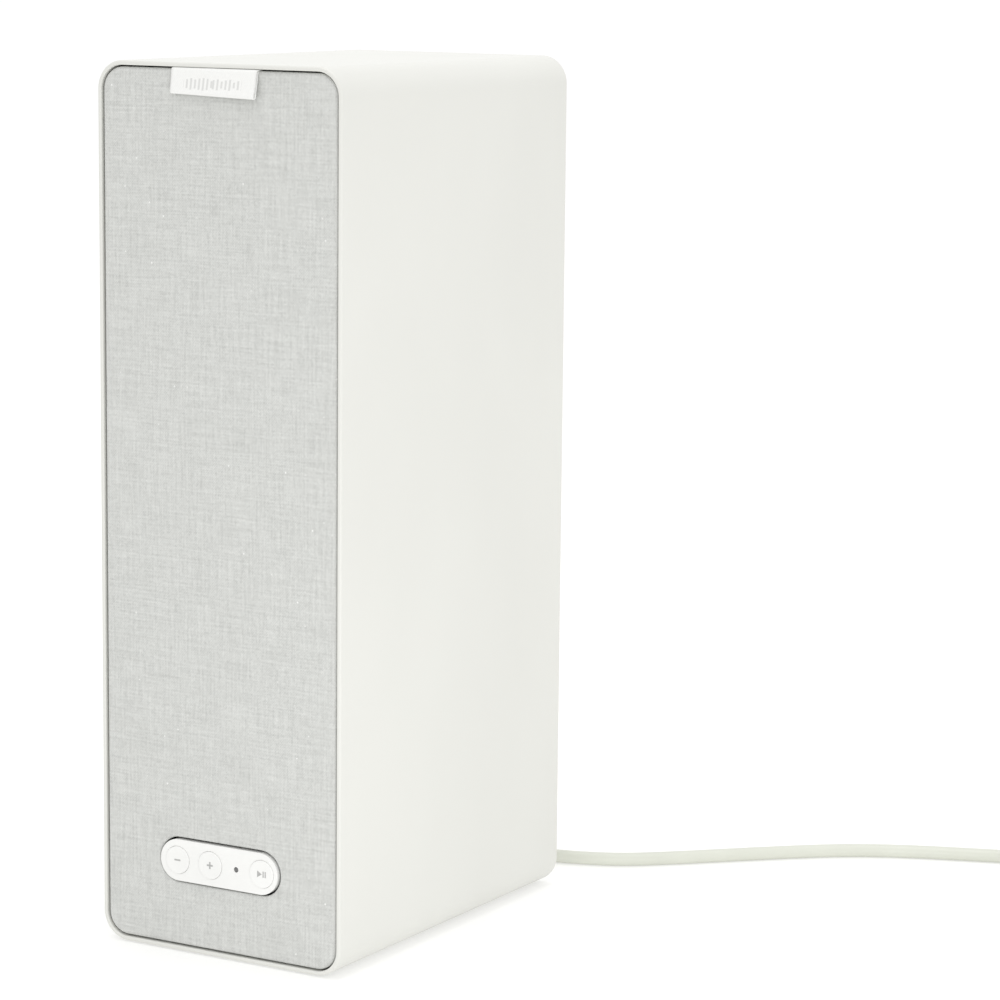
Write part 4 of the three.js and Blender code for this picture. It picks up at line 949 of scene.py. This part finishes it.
def capsuleReach(direction, halfLength, radius):
    # distance from the middle of a stadium shape to its edge in each direction: straight side, or round end
    c, s = np.abs(direction[:, 0]), np.abs(direction[:, 1])
    straight = radius / np.maximum(s, 1e-9)
    rounded = halfLength * c + np.sqrt(np.maximum(radius ** 2 - (halfLength * s) ** 2, 0))
    return np.where(straight * c <= halfLength, straight, rounded)


def buildCloth():
    # outer rows follow the cabinet's outline over the frame's edge; face rows shrink along rays to the window
    low, high = boxOf("grille_fabric")
    bezelLow, bezelHigh = boxOf("control_bezel")
    front, back = low[1], high[1]
    inset, edge, lipEdge = grille["inset"], grille["edge"], grille["holeEdge"]
    outline = sleeveOutline(18, tuple(np.linspace(0, 1, grille["sideSteps"] + 1)[1:-1]))
    profile = [
        (inset, back), (inset, front + edge + 0.6), *arc((inset + edge, front + edge), edge, 180, 270, 5)
    ]
    outer = carriedRound(profile, outline)
    middle = np.array([0, (bezelLow[2] + bezelHigh[2]) / 2])
    flat = outer[-1][:, [0, 2]] - middle
    direction = flat / np.linalg.norm(flat, axis=1, keepdims=True)
    holeRadius = (bezelHigh[2] - bezelLow[2]) / 2 + grille["holeGap"]
    holeHalf = (bezelHigh[0] - bezelLow[0]) / 2 + grille["holeGap"] - holeRadius
    rim = direction * capsuleReach(direction, holeHalf, holeRadius + lipEdge)[:, None]
    share = np.concatenate([np.linspace(0, 1, grille["faceRows"])[1:], [0.993]])
    share.sort()
    face = flat[None] * (1 - share[:, None, None]) + rim[None] * share[:, None, None]
    rows = [np.stack([f[:, 0] + middle[0], np.full(len(f), front), f[:, 1] + middle[1]], -1) for f in face]
    turnIn = [(lipEdge + x, y) for x, y in arc((0, front + lipEdge), lipEdge, 270, 180, 4)[1:]]
    for grow, y in [*turnIn, (0, front + grille["turnedIn"])]:
        edgeLine = direction * capsuleReach(direction, holeHalf, holeRadius + grow)[:, None] + middle
        rows.append(np.stack([edgeLine[:, 0], np.full(len(edgeLine), y), edgeLine[:, 1]], -1))
    points = np.concatenate([outer, np.stack(rows)])
    faces = gridFaces(*points.shape[:2], closeColumns=True)
    # the face looks towards -Y
    a, b, c = (points.reshape(-1, 3)[faces[len(outer) * points.shape[1], k]] for k in range(3))
    made = newPiece("grille_cloth", points, faces, cloth, outwards=bool(np.cross(b - a, c - a)[1] < 0))
    thicken = made.modifiers.new("cloth thickness", "SOLIDIFY")
    thicken.thickness = grille["thickness"] * mm
    thicken.offset = -1
    place(made, "grille", "grille_cloth", "grille_fabric")


def buildTab():
    # a strip folded on itself: down from the gap over the cloth, round a soft fold, and back up behind
    low, high = boxOf("pull_tab")
    clothFront = boxOf("grille_fabric")[0][1]
    thick = tab["thick"]
    outY, fold = low[1] + thick / 2 + 0.05, tab["foldRadius"]
    top = high[2]
    backY = clothFront + 2.4
    foldTurn = np.linspace(0.25, math.pi - 0.25, 7)
    foldZ = low[2] + fold + thick / 2
    folded = np.stack([outY + fold - fold * np.cos(foldTurn), foldZ - fold * np.sin(foldTurn)], -1)
    line = [
        (backY, top + 0.62), (clothFront - 0.2, top + 0.62), (clothFront - 0.95, top + 0.2),
        (clothFront - 1.25, top - 0.9), (clothFront - 1.7, top - 3.2), (clothFront - 2.25, top - 5.6),
        (outY, low[2] + fold + 0.5), *folded, (outY + 2 * fold + 0.1, low[2] + fold + 0.8),
        (clothFront - 1.15, top - 5.2), (clothFront - 0.6, top - 2.8), (clothFront - 0.42, top - 0.9),
        (clothFront + 0.3, top + 0.14), (backY, top + 0.14),
    ]
    path = smoothPath([(0, y, z) for y, z in line], 0.22)
    wide = np.linspace(low[0], high[0], 37)
    # it is a little twisted: towards its left side it lies nearer the cloth and ends higher
    left = (1 - (wide - low[0]) / (high[0] - low[0]))[None, :]
    standing = np.minimum(path[:, 1:2] - clothFront, 0)
    y = path[:, 1:2] - standing * (1 - tab["nearSide"]) * left
    z = path[:, 2:3] + np.maximum(top - path[:, 2:3], 0) * tab["shortSide"] * left
    points = np.stack(np.broadcast_arrays(wide[None, :], y, z), -1)
    faces = gridFaces(*points.shape[:2])
    made = newPiece("pull_ribbon", points, faces, ribbon, outwards=True)
    thicken = made.modifiers.new("ribbon thickness", "SOLIDIFY")
    thicken.thickness = thick * mm
    thicken.offset = 0
    place(made, "grille", "tab_ribbon", "pull_tab")


place(cadCopy("grille_frame", black, 0.3), "grille", "black_plastic", "grille_frame")
buildCloth()
buildTab()
print("grille cloth, frame and ribbon ready")


# the controls

control = {
    "radius": 4.92, "dish": 0.12, "dishRadius": 3.3, "edge": 0.22, "inkLift": 0.03,
    "flangeRadius": 5.25, "flangeBehind": 2.1, "plungerRadius": 1.3,
}
# marks as polygons of (x, z) from the button's middle, in millimetres
marks = {
    "button_minus": [[(-1.25, -0.3), (1.25, -0.3), (1.25, 0.3), (-1.25, 0.3)]],
    "button_plus": [
        [(-0.3, -1.25), (0.3, -1.25), (0.3, 1.25), (-0.3, 1.25)],
        [(0.32, -0.3), (1.25, -0.3), (1.25, 0.3), (0.32, 0.3)],
        [(-1.25, -0.3), (-0.32, -0.3), (-0.32, 0.3), (-1.25, 0.3)],
    ],
    "button_play": [
        [(-1.7, -1.2), (0.2, 0), (-1.7, 1.2)],
        [(0.55, -1.1), (1.0, -1.1), (1.0, 1.1), (0.55, 1.1)],
        [(1.4, -1.1), (1.85, -1.1), (1.85, 1.1), (1.4, 1.1)],
    ],
}


def buildButtons():
    # a round cap spun about its own axis: a shallow dish, a soft rim, the retaining flange and the plunger
    for name, mark in marks.items():
        low, high = boxOf(name)
        middle = (low + high) / 2
        front, back = low[1], high[1]
        radius, edge, dish = control["radius"], control["edge"], front + control["dish"]
        flange = front + control["flangeBehind"]
        profile = [
            (0, dish), (control["dishRadius"], dish), (control["dishRadius"] + 0.7, front + 0.02),
            *arc((radius - edge, front + edge), edge, 270, 360, 4), (radius, flange),
            (control["flangeRadius"], flange), (control["flangeRadius"], flange + 0.6),
            (control["plungerRadius"], flange + 0.6), (control["plungerRadius"], back), (0, back),
        ]
        points = spun(profile, (middle[0], 0, middle[2]), "y", 56)
        faces = gridFaces(len(profile), 56, closeColumns=True)
        place(newPiece(name + "_made", points, faces, polished, sharp=50), name, "gloss_white", name)
        place(inkMark(name + "_mark", mark, middle, dish), name, "smoked_lens")


def inkMark(name, polygons, middle, face):
    # each outline becomes a thin prism that stands a little proud of the button's face
    work = bmesh.new()
    for outline in polygons:
        ends = [
            [work.verts.new(((middle[0] + x) * mm, y * mm, (middle[2] + z) * mm)) for x, z in outline]
            for y in (face - control["inkLift"], face + 0.02)
        ]
        work.faces.new(ends[0])
        work.faces.new(ends[1][::-1])
        for k in range(len(outline)):
            n = (k + 1) % len(outline)
            work.faces.new((ends[0][k], ends[1][k], ends[1][n], ends[0][n]))
    bmesh.ops.recalc_face_normals(work, faces=work.faces)
    mesh = bpy.data.meshes.new(name)
    work.to_mesh(mesh)
    work.free()
    mesh.materials.append(ink)
    piece = bpy.data.objects.new(name, mesh)
    bpy.context.scene.collection.objects.link(piece)
    return piece


def buildLens():
    low, high = boxOf("status_lens")
    middle, front = (low + high) / 2, low[1]
    profile = [
        (0, front), (0.5, front + 0.03), (0.8, front + 0.16), (0.8, front + 1.7), (1.3, front + 1.7),
        (1.3, high[1]), (0, high[1])
    ]
    points = spun(profile, (middle[0], 0, middle[2]), "y", 32)
    lens = newPiece("status_lens_made", points, gridFaces(len(profile), 32, closeColumns=True), smoked)
    place(lens, "cabinet", "smoked_lens", "status_lens")


place(cadCopy("control_bezel", polished, 0.3, 3), "cabinet", "gloss_white", "control_bezel")
buildButtons()
buildLens()
print("controls ready")


# what is inside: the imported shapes, joined and softened, each in its own finish

inside = {
    "black_plastic": (black, [
        "front_baffle", "bass_port", "woofer_basket", "tweeter_plate", "filter_capacitor", "woofer_wire",
        "tweeter_wire", "button_wire",
    ]),
    "rubber": (rubber, ["woofer_surround"]),
    "cone_paper": (pulp, ["woofer_cone", "woofer_dust_cap", "tweeter_dome"]),
    "coil_amber": (winding, ["woofer_voice_coil", "woofer_spider", "power_transformer"]),
    "zinc_steel": (zinc, [
        "woofer_top_plate", "woofer_yoke",
        *[f"{part}_screw_{i}" for part in ("baffle", "woofer") for i in range(1, 5)],
    ]),
    "ferrite": (ferrite, ["woofer_magnet", "tweeter_motor"]),
    "circuit_board": (board, ["control_board", "power_board", "main_board", "antenna_left", "antenna_right"]),
    "tin": (tin, ["processor_shield"]),
    "felt": (felt, ["baffle_seal", "acoustic_pad"]),
}
# bevels that show, in millimetres
edgeRadius = {
    "front_baffle": 0.3, "bass_port": 0.3, "power_transformer": 0.5, "main_board": 0.15, "power_board": 0.15
}


def buildInside():
    bodies = frame["record"]["behaviour"]["bodies"]
    bodyOf = {node: body for body, nodes in bodies.items() for node in nodes}
    for slot, (material, nodes) in inside.items():
        for node in nodes:
            place(cadCopy(node, material, edgeRadius.get(node, 0.0)), bodyOf[node], slot, node)


buildInside()
print("inside ready")
